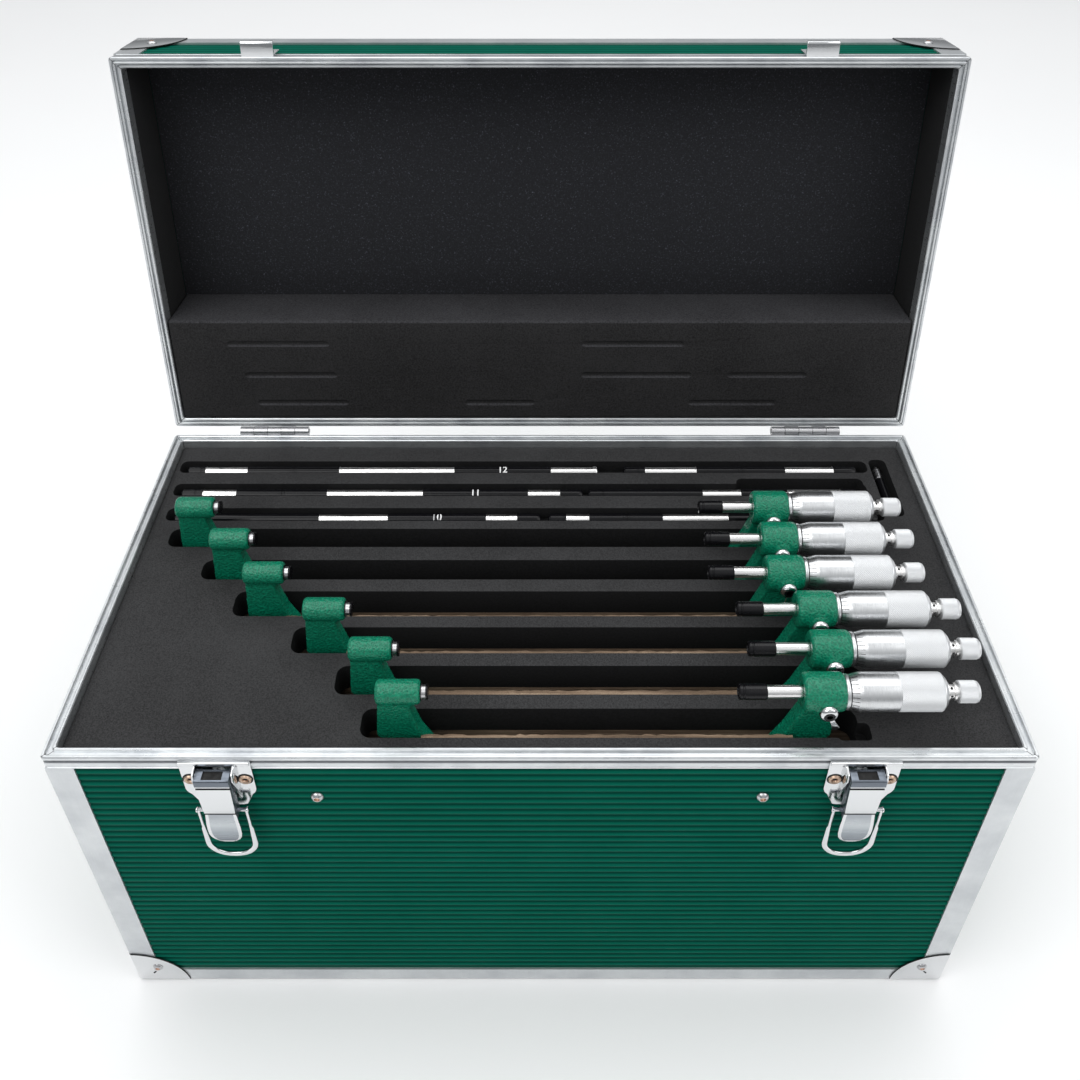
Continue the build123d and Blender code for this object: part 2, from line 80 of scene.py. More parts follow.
def add_node(material, kind, **values):
    """A node with its sockets set by name, or wired where the value is another node's socket."""
    node = material.node_tree.nodes.new(kind)
    for key, value in values.items():
        if key in node.bl_rna.properties and not key[0].isupper():
            setattr(node, key, value)
            continue
        numbered = key[0] == "i" and key[1:].isdigit()
        socket = node.inputs[int(key[1:])] if numbered else node.inputs[key.replace("_", " ")]
        if isinstance(value, bpy.types.NodeSocket):
            material.node_tree.links.new(value, socket)
        else:
            socket.default_value = value
    return node


def spot(material, scale=(1, 1, 1), turn=(0, 0, 0), shift=(0, 0, 0)):
    """The object's own coordinates, stretched, turned or shifted."""
    place = add_node(material, "ShaderNodeTexCoord")
    mapping = add_node(material, "ShaderNodeMapping", Vector=place.outputs["Object"], Scale=scale,
                       Rotation=turn, Location=shift)
    return mapping.outputs["Vector"]


def grain(material, scale, detail=4.0, roughness=0.6, vector=None):
    """A noise value over the piece."""
    noise = add_node(material, "ShaderNodeTexNoise", Vector=vector or spot(material), Scale=scale,
                     Detail=detail, Roughness=roughness)
    return noise.outputs["Fac"]


def shades(material, value, stops):
    """Colours along a value: (position, colour) pairs."""
    ramp = add_node(material, "ShaderNodeValToRGB", Fac=value)
    for element, stop in zip(ramp.color_ramp.elements, (stops[0], stops[-1])):
        element.position, element.color = stop[0], (*stop[1], 1)
    for position, colour in stops[1:-1]:
        ramp.color_ramp.elements.new(position).color = (*colour, 1)
    return ramp.outputs["Color"]


def spread(material, value, low, high, source=(0.3, 0.7)):
    """A value stretched to another range."""
    node = add_node(material, "ShaderNodeMapRange", Value=value, From_Min=source[0], From_Max=source[1],
                    To_Min=low, To_Max=high)
    return node.outputs["Result"]


def work_out(material, operation, *values):
    """The result of a math node."""
    return add_node(material, "ShaderNodeMath", operation=operation,
                    **{f"i{n}": value for n, value in enumerate(values)}).outputs[0]


def wire(material, **sockets):
    """Values wired to the shader's own sockets."""
    shader = material.node_tree.nodes["Principled BSDF"]
    for key, value in sockets.items():
        material.node_tree.links.new(value, shader.inputs[key.replace("_", " ")])
    return material


def relief(material, value, distance, strength=1.0, under=None):
    """A bump from a value, on top of another bump if one is given."""
    bump = add_node(material, "ShaderNodeBump", Height=value, Distance=distance, Strength=strength)
    if under is not None:
        material.node_tree.links.new(under, bump.inputs["Normal"])
    return bump.outputs["Normal"]


def dress(material, *names):
    """CAD pieces whose shape is right get their finish."""
    for name in names:
        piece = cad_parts[name]
        piece.data.materials.clear()
        piece.data.materials.append(material)


# painted light on the ribs and painted shade in the valleys between them
rib_painted_light = (0.002, 0.112, 0.073)
valley_painted_shade = (0.0003, 0.042, 0.028)
rib_pitch = 5 * mm
body_first_rib, lid_first_rib = 1.4 * mm, 2.0 * mm
lid_open = math.radians(98.0)


def green_with_painted_rib_shade(name, turn, shift):
    """Stripes of painted light on the ribs and painted shade in the valleys, following the ribs up the piece,
    with a faint cloudiness.
    """
    finish = new_finish(name, rib_painted_light, 0.0, 0.38, gloss=0.01)
    place = add_node(finish, "ShaderNodeSeparateXYZ", Vector=spot(finish, turn=turn, shift=(0, 0, shift)))
    rib_shade_stripe = work_out(finish, "PINGPONG", place.outputs["Z"], rib_pitch / 2)
    cloud = grain(finish, 30.0)
    shifted = work_out(finish, "MULTIPLY_ADD", cloud, 0.6 * mm, rib_shade_stripe)
    tone = spread(finish, shifted, 0, 1, (0.0, 3 * mm))
    colour = shades(finish, tone, ((0.25, rib_painted_light), (0.8, valley_painted_shade)))
    fine = grain(finish, 900.0, vector=spot(finish, (0.05, 0.05, 1)))
    return wire(finish, Base_Color=colour, Roughness=spread(finish, cloud, 0.3, 0.48),
                Normal=relief(finish, fine, 0.08 * mm))


hinge_y, hinge_z = 123.5 * mm, 225.25 * mm
lid_shift = hinge_z - hinge_y * math.sin(lid_open) - hinge_z * math.cos(lid_open)
body_green = green_with_painted_rib_shade("ribbed_green", (0, 0, 0), -body_first_rib)
lid_green = green_with_painted_rib_shade("ribbed_green_lid", (lid_open, 0, 0), lid_shift - lid_first_rib)
dress(body_green, "front_panel", "rear_panel", "end_panels", "base_board")
dress(lid_green, "lid_walls", "lid_top_panel")

# ---- Aluminium edge strips ---------------------------------------------------------------------
# Drawn angle strips over every outside edge, anodised to a soft silver, with faint drawing lines
# and small scuffs. They are riveted under the corner caps.
dull_silver, bright_silver = (0.5, 0.52, 0.54), (0.66, 0.68, 0.69)
drawn_silver = new_finish("drawn_aluminium_upright", (0.82, 0.84, 0.85), 0.85, 0.34)
drawing_lines = grain(drawn_silver, 40.0, vector=spot(drawn_silver, (60.0, 60.0, 1.0)))
silver_scuffs = grain(drawn_silver, 25.0, detail=8.0)
silver_tone = shades(drawn_silver, silver_scuffs, ((0.35, dull_silver), (0.65, bright_silver)))
wire(drawn_silver, Base_Color=silver_tone, Roughness=spread(drawn_silver, drawing_lines, 0.28, 0.46),
     Normal=relief(drawn_silver, drawing_lines, 0.05 * mm))
dress(drawn_silver, "body_edge_profiles", "lid_edge_profiles")

# ---- Rims ----------------------------------------------------------------------------------------
# Extruded aluminium channels mitred at the corners, pressed over the tops of the walls. The body's
# rim has a groove between two ridges on top, and the lid's has the tongue that drops into it. Both
# have a groove round the outside, its bottom darkened with painted shade.
case_w, case_d, body_h = 480 * mm, 240 * mm, 225 * mm
lid_h = 50.8 * mm
seam = 0.5 * mm
lid_top = body_h + seam + lid_h
mitre_gap = 0.22 * mm


def only(piece):
    """This piece selected alone."""
    bpy.ops.object.select_all(action="DESELECT")
    piece.select_set(True)
    bpy.context.view_layer.objects.active = piece


def modify(piece, kind, **settings):
    """A modifier with its settings, applied at once."""
    change = piece.modifiers.new(kind.lower(), kind)
    for key, value in settings.items():
        setattr(change, key, value)
    bpy.context.view_layer.objects.active = piece
    bpy.ops.object.modifier_apply(modifier=change.name)


def smooth(piece, corner):
    """Shaded smooth across edges blunter than an angle in degrees."""
    only(piece)
    bpy.ops.object.shade_smooth_by_angle(angle=math.radians(corner))


def begin(name):
    """The new primitive, named, with its place put into its mesh, all selected and open for editing."""
    piece = bpy.context.active_object
    piece.name = piece.data.name = name
    bpy.ops.object.transform_apply(location=True, rotation=True, scale=True)
    bpy.ops.object.mode_set(mode="EDIT")
    bpy.ops.mesh.select_mode(type="VERT")
    bpy.ops.mesh.select_all(action="SELECT")
    return piece


def push(x, y, z):
    """What is selected is extruded along a vector."""
    bpy.ops.mesh.extrude_region_move(TRANSFORM_OT_translate={"value": (x, y, z)})


def soften(piece, width, segments=2, corner=30.0):
    """Sharp edges eased by a bevel."""
    modify(piece, "BEVEL", width=width, segments=segments, limit_method="ANGLE",
           angle_limit=math.radians(corner))


def end(piece, *finishes, ease=0.0, segments=2, flat=35.0):
    """Editing closed: doubles merged, faces turned outward, edges eased, the finishes given."""
    bpy.ops.mesh.select_all(action="SELECT")
    bpy.ops.mesh.remove_doubles(threshold=0.004 * mm)
    bpy.ops.mesh.normals_make_consistent(inside=False)
    bpy.ops.object.mode_set(mode="OBJECT")
    if ease:
        soften(piece, ease, segments)
    smooth(piece, flat)
    for finish in finishes:
        piece.data.materials.append(finish)
    return piece


def settle(piece, body, slot, *nodes):
    """The piece rides on its body and stands for CAD nodes; the slot is not used."""
    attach(piece, body)
    if nodes:
        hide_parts(*nodes)
    return piece


def turn_lid(piece, angle, centre):
    """The piece turned about the X axis through a point, with its place put into its mesh."""
    only(piece)
    from_here = Vector((0, piece.location.y - centre[1], piece.location.z - centre[2]))
    cosine, sine = math.cos(angle), math.sin(angle)
    piece.location.y = centre[1] + from_here.y * cosine - from_here.z * sine
    piece.location.z = centre[2] + from_here.y * sine + from_here.z * cosine
    piece.rotation_euler.x = angle
    bpy.ops.object.transform_apply(location=True, rotation=True, scale=True)
    return piece


def swing_open(piece):
    """A piece of the shut lid swung open about the hinge line."""
    return turn_lid(piece, -lid_open, (0, hinge_y, hinge_z))


def to_lid(piece):
    """A piece made as the body's are, turned over on to the lid and swung open."""
    turn_lid(piece, math.pi, (0, 0, lid_top / 2))
    return swing_open(piece)


def rim_channel(name, top, stations):
    """A rectangular ring pushed from one (inset, height) station of its section to the next."""
    bpy.ops.mesh.primitive_plane_add(size=1, location=(0, 0, top + stations[0][1]))
    bpy.context.active_object.scale = (case_w, case_d, 1)
    piece = begin(name)
    bpy.ops.mesh.bevel(offset=2 * mm, segments=3, affect="VERTICES")
    bpy.ops.mesh.select_all(action="SELECT")
    bpy.ops.mesh.delete(type="ONLY_FACE")
    bpy.ops.mesh.select_all(action="SELECT")
    for (inset, level), (next_inset, next_level) in zip(stations, stations[1:] + stations[:1]):
        push(0, 0, next_level - level)
        wide = (case_w - 2 * next_inset) / (case_w - 2 * inset)
        deep = (case_d - 2 * next_inset) / (case_d - 2 * inset)
        bpy.ops.transform.resize(value=(wide, deep, 1), center_override=(0, 0, top + next_level))
    return piece


def mitred_aluminium(name, turn, centre):
    """Rim metal: drawing lines, and a dark hairline where the lengths meet at the corners."""
    finish = new_finish(name, (0.86, 0.88, 0.89), 0.85, 0.3)
    place = add_node(finish, "ShaderNodeSeparateXYZ", Vector=spot(finish, turn=turn, shift=centre))
    across = work_out(finish, "SUBTRACT", work_out(finish, "ABSOLUTE", place.outputs["X"]),
                      work_out(finish, "ABSOLUTE", place.outputs["Y"]))
    off_mitre = work_out(finish, "ABSOLUTE", work_out(finish, "SUBTRACT", across, (case_w - case_d) / 2))
    fine = grain(finish, 30.0, vector=spot(finish, (1.0, 8.0, 30.0)))
    scuffs = grain(finish, 45.0, detail=8.0)
    silver = shades(finish, scuffs, ((0.35, (0.52, 0.54, 0.56)), (0.6, (0.68, 0.7, 0.71))))
    gap = work_out(finish, "LESS_THAN", off_mitre, mitre_gap)
    colour = add_node(finish, "ShaderNodeMix", data_type="RGBA", i0=gap, i6=silver, i7=(0.03, 0.03, 0.03, 1))
    return wire(finish, Base_Color=colour.outputs[2], Roughness=spread(finish, fine, 0.24, 0.4),
                Normal=relief(finish, fine, 0.03 * mm))


outer_face = [(0.2, -9.0), (0.2, -8.2), (0.6, -8.0), (0.6, -7.6), (0.2, -7.4), (0.2, -4.6), (1.1, -4.3),
              (1.1, -2.4), (0.0, -2.1), (0.0, -0.6), (0.5, 0.0)]
inner_face = [(5.5, 0.0), (6.0, -0.5), (6.0, -9.0), (5.0, -9.0), (5.0, -3.0), (1.4, -3.0), (1.4, -9.0)]
body_groove = [(1.4, 0.0), (1.8, -0.4), (1.8, -1.6), (4.2, -1.6), (4.2, -0.4), (4.6, 0.0)]
lid_tongue = [(1.5, 0.0), (1.9, -0.9), (2.3, -0.9), (2.4, 1.0), (2.6, 1.2), (3.4, 1.2), (3.6, 1.0),
              (3.7, -0.9), (4.1, -0.9), (4.5, 0.0)]


def in_metres(points):
    """Section points drawn in millimetres."""
    return [(a * mm, b * mm) for a, b in points]


def paint_groove_shade(piece, top):
    """The second finish, a darker aluminium as painted shade, for the bottom of the groove round a rim."""
    for face in piece.data.polygons:
        x, y, z = face.center
        inset = min(case_w / 2 - abs(x), case_d / 2 - abs(y))
        face.material_index = int(inset < 1.15 * mm and top - 4.5 * mm < z < top - 2.2 * mm)


# darker, rougher aluminium as painted shade in the groove round each rim
groove_painted_shade = new_finish("groove_painted_shade", (0.3, 0.31, 0.325), 0.6, 0.5)
groove_shade_marks = grain(groove_painted_shade, 60.0)
wire(groove_painted_shade, Roughness=spread(groove_painted_shade, groove_shade_marks, 0.4, 0.6))
body_rim = rim_channel("body_rim_channel", body_h, in_metres(outer_face + body_groove + inner_face))
end(body_rim, mitred_aluminium("mitred_aluminium", (0, 0, 0), (0, 0, 0)), groove_painted_shade, flat=25)
paint_groove_shade(body_rim, body_h)
settle(body_rim, "case", "aluminium_profile", "body_rim")
lid_rim = rim_channel("lid_rim_channel", lid_h, in_metres(outer_face + lid_tongue + inner_face))
shut_again = (0, hinge_y * (1 - math.cos(lid_open)) + hinge_z * math.sin(lid_open), 0)
end(lid_rim, mitred_aluminium("mitred_aluminium_lid", (lid_open, 0, 0), shut_again), groove_painted_shade, flat=25)
paint_groove_shade(lid_rim, lid_h)
settle(to_lid(lid_rim), "lid", "aluminium_profile", "lid_rim")

# ---- Chrome corner caps --------------------------------------------------------------------------
# Pressed steel, polished and chrome plated. Each cap is three quarter-round leaves folded about a
# corner, held by a domed rivet on each upright leaf, with a small slot beside the rivet drawn as a black
# sheet of painted shadow. The sheet's cut edges are black, a painted shadow line.
cap_reach = 31 * mm
cap_sheet = 0.8 * mm


def plated(name, colour, roughness):
    """Bright plating with faint waves and hairlines."""
    finish = new_finish(name, colour, 1.0, roughness)
    waves = grain(finish, 60.0, detail=2.0)
    hair = grain(finish, 500.0, vector=spot(finish, (0.08, 1, 1)))
    return wire(finish, Roughness=spread(finish, hair, roughness * 0.7, roughness * 1.7),
                Normal=relief(finish, hair, 0.02 * mm, under=relief(finish, waves, 0.1 * mm)))


chrome = plated("chrome_plate", (0.68, 0.69, 0.7), 0.1)
steel = plated("bright_steel", (0.5, 0.5, 0.51), 0.24)
# black painted shadow, put in slots, holes, creases and along cut edges
painted_shadow_black = new_finish("shadowed_hollow", (0.004, 0.004, 0.004), 0.0, 0.7)
wire(painted_shadow_black, Roughness=spread(painted_shadow_black, grain(painted_shadow_black, 400.0), 0.6, 0.9))
rivet_bronze = plated("rivet_bronze", (0.62, 0.46, 0.38), 0.28)


def pick(piece, kind, test):
    """Selects the vertices, edges or faces whose middle passes the test."""
    bpy.ops.mesh.select_mode(type=kind)
    bpy.ops.mesh.select_all(action="DESELECT")
    edit = bmesh.from_edit_mesh(piece.data)
    for item in {"VERT": edit.verts, "EDGE": edit.edges, "FACE": edit.faces}[kind]:
        corners = [item] if kind == "VERT" else list(item.verts)
        middle = sum((corner.co for corner in corners), Vector()) / len(corners)
        item.select_set(bool(test(middle)))
    edit.select_flush_mode()
    bmesh.update_edit_mesh(piece.data)


def line_through(name, points):
    """A line pushed from point to point, all selected and open for editing."""
    bpy.ops.mesh.primitive_plane_add(size=mm, location=points[0])
    piece = begin(name)
    bpy.ops.mesh.merge(type="CENTER")
    for here, there in zip(points, points[1:]):
        bpy.ops.mesh.extrude_vertices_move(TRANSFORM_OT_translate={"value": Vector(there) - Vector(here)})
    bpy.ops.mesh.select_all(action="SELECT")
    return piece


def drawn(name, points, thick):
    """An outline drawn point by point, filled, and pushed out by a vector to its thickness."""
    piece = line_through(name, points)
    bpy.ops.mesh.edge_face_add()
    if thick:
        push(*thick)
    return piece


axes = {"X": Vector((1, 0, 0)), "Y": Vector((0, 1, 0)), "Z": Vector((0, 0, 1))}


def turned(name, at, outline, along="X", sides=48, hollow=False):
    """A turned shape: a ring at the first (distance, radius) pushed on to each next one."""
    turn = {"X": (0, math.pi / 2, 0), "Y": (math.pi / 2, 0, 0), "Z": (0, 0, 0)}[along]
    axis = axes[along]
    at = Vector(at)
    fill = "NOTHING" if hollow else "NGON"
    bpy.ops.mesh.primitive_circle_add(vertices=sides, radius=outline[0][1], fill_type=fill,
                                      location=at + axis * outline[0][0], rotation=turn)
    piece = begin(name)
    stations = outline + outline[:1] if hollow else outline
    for (reach, radius), (next_reach, next_radius) in zip(stations, stations[1:]):
        push(*(axis * (next_reach - reach)))
        if next_radius != radius:
            growth = next_radius / radius
            bpy.ops.transform.resize(value=(growth, growth, growth), center_override=at + axis * next_reach)
    return piece


def one_piece(name, *pieces):
    """Finished pieces joined into one object."""
    bpy.ops.object.select_all(action="DESELECT")
    for piece in pieces:
        piece.select_set(True)
    bpy.context.view_layer.objects.active = pieces[0]
    if len(pieces) > 1:
        bpy.ops.object.join()
    pieces[0].name = pieces[0].data.name = name
    return pieces[0]


def mirrored(piece, flip):
    """A copy with its own mesh, mirrored."""
    only(piece)
    bpy.ops.object.duplicate()
    twin = bpy.context.active_object
    twin.scale = flip
    bpy.ops.object.transform_apply(location=True, rotation=True, scale=True)
    if math.prod(flip) < 0:
        bpy.ops.object.mode_set(mode="EDIT")
        bpy.ops.mesh.select_all(action="SELECT")
        bpy.ops.mesh.normals_make_consistent(inside=False)
        bpy.ops.object.mode_set(mode="OBJECT")
    return twin


def rivet(name, at, along, out, radius, high):
    """A domed steel head pushed out along an axis, with the sunk end of its bronze mandrel."""
    profile = [(0.0, radius), (0.25 * high, radius), (0.7 * high, 0.82 * radius), (high, 0.58 * radius),
               (high, 0.46 * radius), (0.6 * high, 0.44 * radius), (0.66 * high, 0.1 * radius)]
    head = turned(name, at, [(out * a, b) for a, b in profile], along, sides=24)
    end(head, steel, rivet_bronze)
    for face in head.data.polygons:
        reach = face.center - Vector(at)
        off_axis = (reach - axes[along] * reach.dot(axes[along])).length
        face.material_index = int(off_axis < 0.46 * radius)
    return head


def corner_cap(name):
    """The cap about the front left bottom corner."""
    x, y = -case_w / 2 - cap_sheet, -case_d / 2 - cap_sheet
    arc = [math.pi / 2 * n / 14 for n in range(15)]
    leaves = []
    for side in range(3):
        points = [(0.0, 0.0)] + [(cap_reach * math.cos(a), cap_reach * math.sin(a)) for a in arc]
        if side == 0:
            points = [(x + a, y, b) for a, b in points]
        elif side == 1:
            points = [(x, y + a, b) for a, b in points]
        else:
            points = [(x + a, y + b, 0) for a, b in points]
        leaf = drawn(f"{name}_leaf", points, None)
        bpy.ops.object.mode_set(mode="OBJECT")
        leaves.append(leaf)
    cap = one_piece(name, *leaves)
    bpy.ops.object.mode_set(mode="EDIT")
    bpy.ops.mesh.select_all(action="SELECT")
    bpy.ops.mesh.remove_doubles(threshold=0.01 * mm)
    bpy.ops.mesh.normals_make_consistent(inside=False)
    near = 0.02 * mm
    # the fold edges lie in two of the leaves' three planes
    pick(cap, "EDGE", lambda c: (abs(c.x - x) < near) + (abs(c.y - y) < near) + (abs(c.z) < near) > 1)
    bpy.ops.mesh.bevel(offset=2.2 * mm, segments=4, affect="EDGES")
    bpy.ops.object.mode_set(mode="OBJECT")
    cap.data.materials.append(chrome)
    cap.data.materials.append(painted_shadow_black)
    # the cut edges of the sheet take the black, a painted shadow line round each leaf
    modify(cap, "SOLIDIFY", thickness=cap_sheet, offset=-1, material_offset_rim=1)
    soften(cap, 0.22 * mm, 2, 40)
    smooth(cap, 35)
    # the slot is a flat black sheet on the leaf, its painted shadow
    slot = ((10.2, 9.4), (11.0, 8.8), (12.9, 11.1), (12.1, 11.7))
    slot = [(x + a * mm, y - 0.03 * mm, b * mm) for a, b in slot]
    slot_painted_shadow = end(drawn(f"{name}_slot", slot, (0, 0.1 * mm, 0)), painted_shadow_black)
    front = rivet(f"{name}_front_rivet", (x + 14.8 * mm, y, 17 * mm), "Y", -1, 2.9 * mm, 1.4 * mm)
    side = rivet(f"{name}_side_rivet", (x, y + 14.8 * mm, 17 * mm), "X", -1, 2.9 * mm, 1.4 * mm)
    return one_piece(name, cap, slot_painted_shadow, front, side)


first_cap = corner_cap("corner_cap")
other_corners = ((-1, 1, 1), (1, -1, 1), (-1, -1, 1))
caps = [mirrored(first_cap, flip) for flip in ((1, 1, 1),) + other_corners]
body_caps = one_piece("body_caps", *caps)
settle(body_caps, "case", "chrome_fittings", "body_corner_caps")
lid_caps = one_piece("lid_caps", first_cap, *[mirrored(first_cap, flip) for flip in other_corners])
settle(to_lid(lid_caps), "lid", "chrome_fittings", "lid_corner_caps")

# ---- Panel rivets ----------------------------------------------------------------------------------
# Domed blind rivets through the front and rear walls. The sunk ends of their mandrels are copper
# coloured.
rivet_x, rivet_z = 111 * mm, 191 * mm
rivet_out = case_d / 2 - mm
wall_rivets = [rivet("wall_rivet", (side * rivet_x, face * rivet_out, rivet_z), "Y", face, 3.3 * mm, 2.0 * mm)
               for face in (-1, 1) for side in (-1, 1)]
settle(one_piece("panel_rivets", *wall_rivets), "case", "bright_rivets", "body_rivets")

# ---- Draw latches ---------------------------------------------------------------------------------
# Chromed pressings: a shield-shaped plate with two eyelets and two cheeks, a lever that turns on a
# pin between the cheeks, and a D-shaped wire bail on the lever that hooks over the lid's keeper.
latch_x = 157 * mm
front_y = -case_d / 2
lever_pin = (4.5, 217.0)
bail_pin = (5.5, 190.0)
gilt = plated("gilt_eyelet", (0.5, 0.36, 0.27), 0.25)
# a darker plating as painted shade, for the lever's top and its side flanges
shade_painted_plate = plated("shade_painted_plate", (0.16, 0.18, 0.21), 0.3)
satin_plate_painted_sheen = plated("satin_plate_painted_sheen", (0.4, 0.43, 0.45), 0.3)
tab_low, tab_high = 166 * mm, 192 * mm
# the thumb tab is coloured darker at its bottom and top and lightest above its middle: painted sheen and
# painted shade of its curved face
satin_level = add_node(satin_plate_painted_sheen, "ShaderNodeSeparateXYZ", Vector=spot(satin_plate_painted_sheen)).outputs["Z"]
tab_sheen_rise = spread(satin_plate_painted_sheen, satin_level, 0, 1, (tab_low, tab_high))
tab_painted_sheen_tones = ((0.08, (0.2, 0.22, 0.25)), (0.4, (0.34, 0.37, 0.4)), (0.62, (0.5, 0.53, 0.55)),
               (1.0, (0.34, 0.36, 0.39)))
wire(satin_plate_painted_sheen, Base_Color=shades(satin_plate_painted_sheen, tab_sheen_rise, tab_painted_sheen_tones))


def on_front(x, points, out):
    """XZ millimetre points on a plane that stands out from the front wall."""
    return [(x + a * mm, front_y - out * mm, b * mm) for a, b in points]


def arc_points(centre, radius, start, sweep, steps):
    """Points along an arc, in degrees anticlockwise."""
    turns = [math.radians(start + sweep * n / steps) for n in range(steps + 1)]
    return [(centre[0] + radius * math.cos(a), centre[1] + radius * math.sin(a)) for a in turns]


def shield(x):
    """The base plate with its folded top edge, cheeks, eyelets and pin."""
    half = [(17.5, 222.6), (17.5, 206.5)] + arc_points((11.0, 201.0), 6.5, 0, -50, 5)
    half += [(11.5, 187.6), (9.5, 187.0)]
    outline = half + [(-a, b) for a, b in reversed(half)]
    plate = drawn("shield", on_front(x, outline, 0.0), (0, -1.0 * mm, 0))
    end(plate, chrome, ease=0.35 * mm, segments=3)
    lip = [(-17.3, 221.0), (17.3, 221.0), (17.3, 223.0), (-17.3, 223.0)]
    folded = end(drawn("lip", on_front(x, lip, 0.8), (0, -1.3 * mm, 0)), chrome, ease=0.4 * mm, segments=3)
    parts = [plate, folded]
    for side in (-1, 1):
        cheek_x = x + side * 8.9 * mm
        cheek = [(0.8, 221.5), (6.4, 219.5), (7.3, 216.0), (6.0, 211.0), (1.2, 193.5), (0.8, 193.5)]
        cheek = [(cheek_x, front_y - out * mm, high * mm) for out, high in cheek]
        parts.append(end(drawn("cheek", cheek, (side * 1.0 * mm, 0, 0)), chrome, ease=0.25 * mm))
        at = (x + side * 13.4 * mm, front_y - 0.9 * mm, 209 * mm)
        ring = [(0.0, 3.9), (-0.4, 3.9), (-0.45, 3.25), (-1.1, 2.9), (-1.3, 2.2), (-0.9, 1.5), (-0.2, 1.2)]
        eyelet = turned("eyelet", at, in_metres(ring), "Y", sides=28)
        end(eyelet, gilt, painted_shadow_black)
        # the eyelet's middle and its outer rim take the black as painted shadow
        for face in eyelet.data.polygons:
            off_axis = math.hypot(face.center.x - at[0], face.center.z - at[2])
            face.material_index = int(off_axis < 0.5 * mm or off_axis > 3.3 * mm)
        parts.append(eyelet)
    at = (x - 10.4 * mm, front_y - lever_pin[0] * mm, lever_pin[1] * mm)
    pin = turned("latch_pin", at, in_metres([(0.0, 1.2), (20.8, 1.2)]), "X", 20)
    return parts + [end(pin, steel, ease=0.3 * mm)]


def edge_half(rows, level):
    """Half the lever's width at a height."""
    for (high, half, out), (low, next_half, next_out) in zip(rows, rows[1:]):
        if low <= level <= high and high > low:
            return half + (next_half - half) * (high - level) / (high - low)
    return rows[0][1]


def lever(x, name):
    """One pressing: slotted top, flat face, two creases, a spoon-shaped thumb tab; sides turned in."""
    rows = [(219.0, 8.2, 2.4), (219.1, 8.35, 3.4), (219.2, 8.4, 8.2), (218.9, 8.5, 8.8), (218.3, 8.5, 9.2),
            (214.6, 8.45, 9.2), (213.8, 8.4, 9.2), (213.4, 8.35, 8.3), (212.7, 8.35, 8.3), (212.4, 8.35, 9.2),
            (204.0, 8.1, 9.25), (197.0, 7.8, 9.25), (192.4, 7.6, 9.2), (192.1, 7.6, 8.1), (191.1, 7.6, 8.1),
            (190.8, 7.6, 8.8), (187.0, 7.9, 9.1), (183.0, 8.2, 9.4), (179.0, 8.3, 9.6), (175.0, 8.2, 9.6),
            (172.0, 7.6, 9.4), (169.5, 6.4, 9.1), (167.6, 4.7, 8.8), (166.5, 2.8, 8.6), (166.1, 1.0, 8.5)]
    columns = (-1.0, -0.8, -0.58, -0.3, 0.0, 0.3, 0.58, 0.8, 1.0)
    top, half, out = rows[0]
    points = [(x + c * half * mm, front_y - out * mm, top * mm) for c in columns]
    piece = line_through(name, points)
    for (level, half, out), (next_level, next_half, next_out) in zip(rows, rows[1:]):
        push(0, (out - next_out) * mm, (next_level - level) * mm)
        bpy.ops.transform.resize(value=(next_half / half, 1, 1), center_override=(x, 0, 0))
    for side in (-1, 1):
        # the long edges of one side, without the thumb tab's and the top's
        pick(piece, "EDGE", lambda c, side=side: side * (c.x - x) > 7.5 * mm and c.z > 187.1 * mm
             and abs(abs(c.x - x) - edge_half(rows, c.z / mm) * mm) < 0.08 * mm and c.y < front_y - 7.9 * mm)
        push(0, 6.2 * mm, 0)
    pick(piece, "FACE", lambda c: abs(c.x - x) < 5 * mm and c.z > 219.1 * mm and c.y > front_y - 8 * mm)
    bpy.ops.mesh.delete(type="FACE")
    bpy.ops.mesh.select_all(action="SELECT")
    bpy.ops.mesh.normals_make_consistent(inside=False)
    bpy.ops.object.mode_set(mode="OBJECT")
    modify(piece, "SOLIDIFY", thickness=1.0 * mm, offset=-1, use_even_offset=True)
    bpy.ops.object.mode_set(mode="EDIT")
    end(piece, chrome, shade_painted_plate, satin_plate_painted_sheen, painted_shadow_black, ease=0.22 * mm)
    # the top and the side flanges take the darker plate as painted shade, the creases the black as painted
    # shadow, the thumb tab the satin with its painted sheen, the rest chrome
    for face in piece.data.polygons:
        level, out = face.center.z / mm, (front_y - face.center.y) / mm
        off = abs(face.center.x - x) / mm
        flange = abs(face.normal.x) > 0.7 and out < 8.4 and level > 186.0
        crease = 212.35 < level < 213.75 or 190.75 < level < 192.3
        tab = 167.3 < level < 190.9 and out > 7.4 and off < 0.87 * edge_half(rows, level)
        face.material_index = 1 if level > 214.3 or flange else 3 if crease else 2 if tab else 0
    backing = [(-6.2, 217.9), (6.2, 217.9), (6.2, 218.35), (-6.2, 218.35)]
    well = end(drawn("slot_shadow", on_front(x, backing, 3.2), (0, -4.8 * mm, 0)), painted_shadow_black)
    return one_piece(name, piece, well)


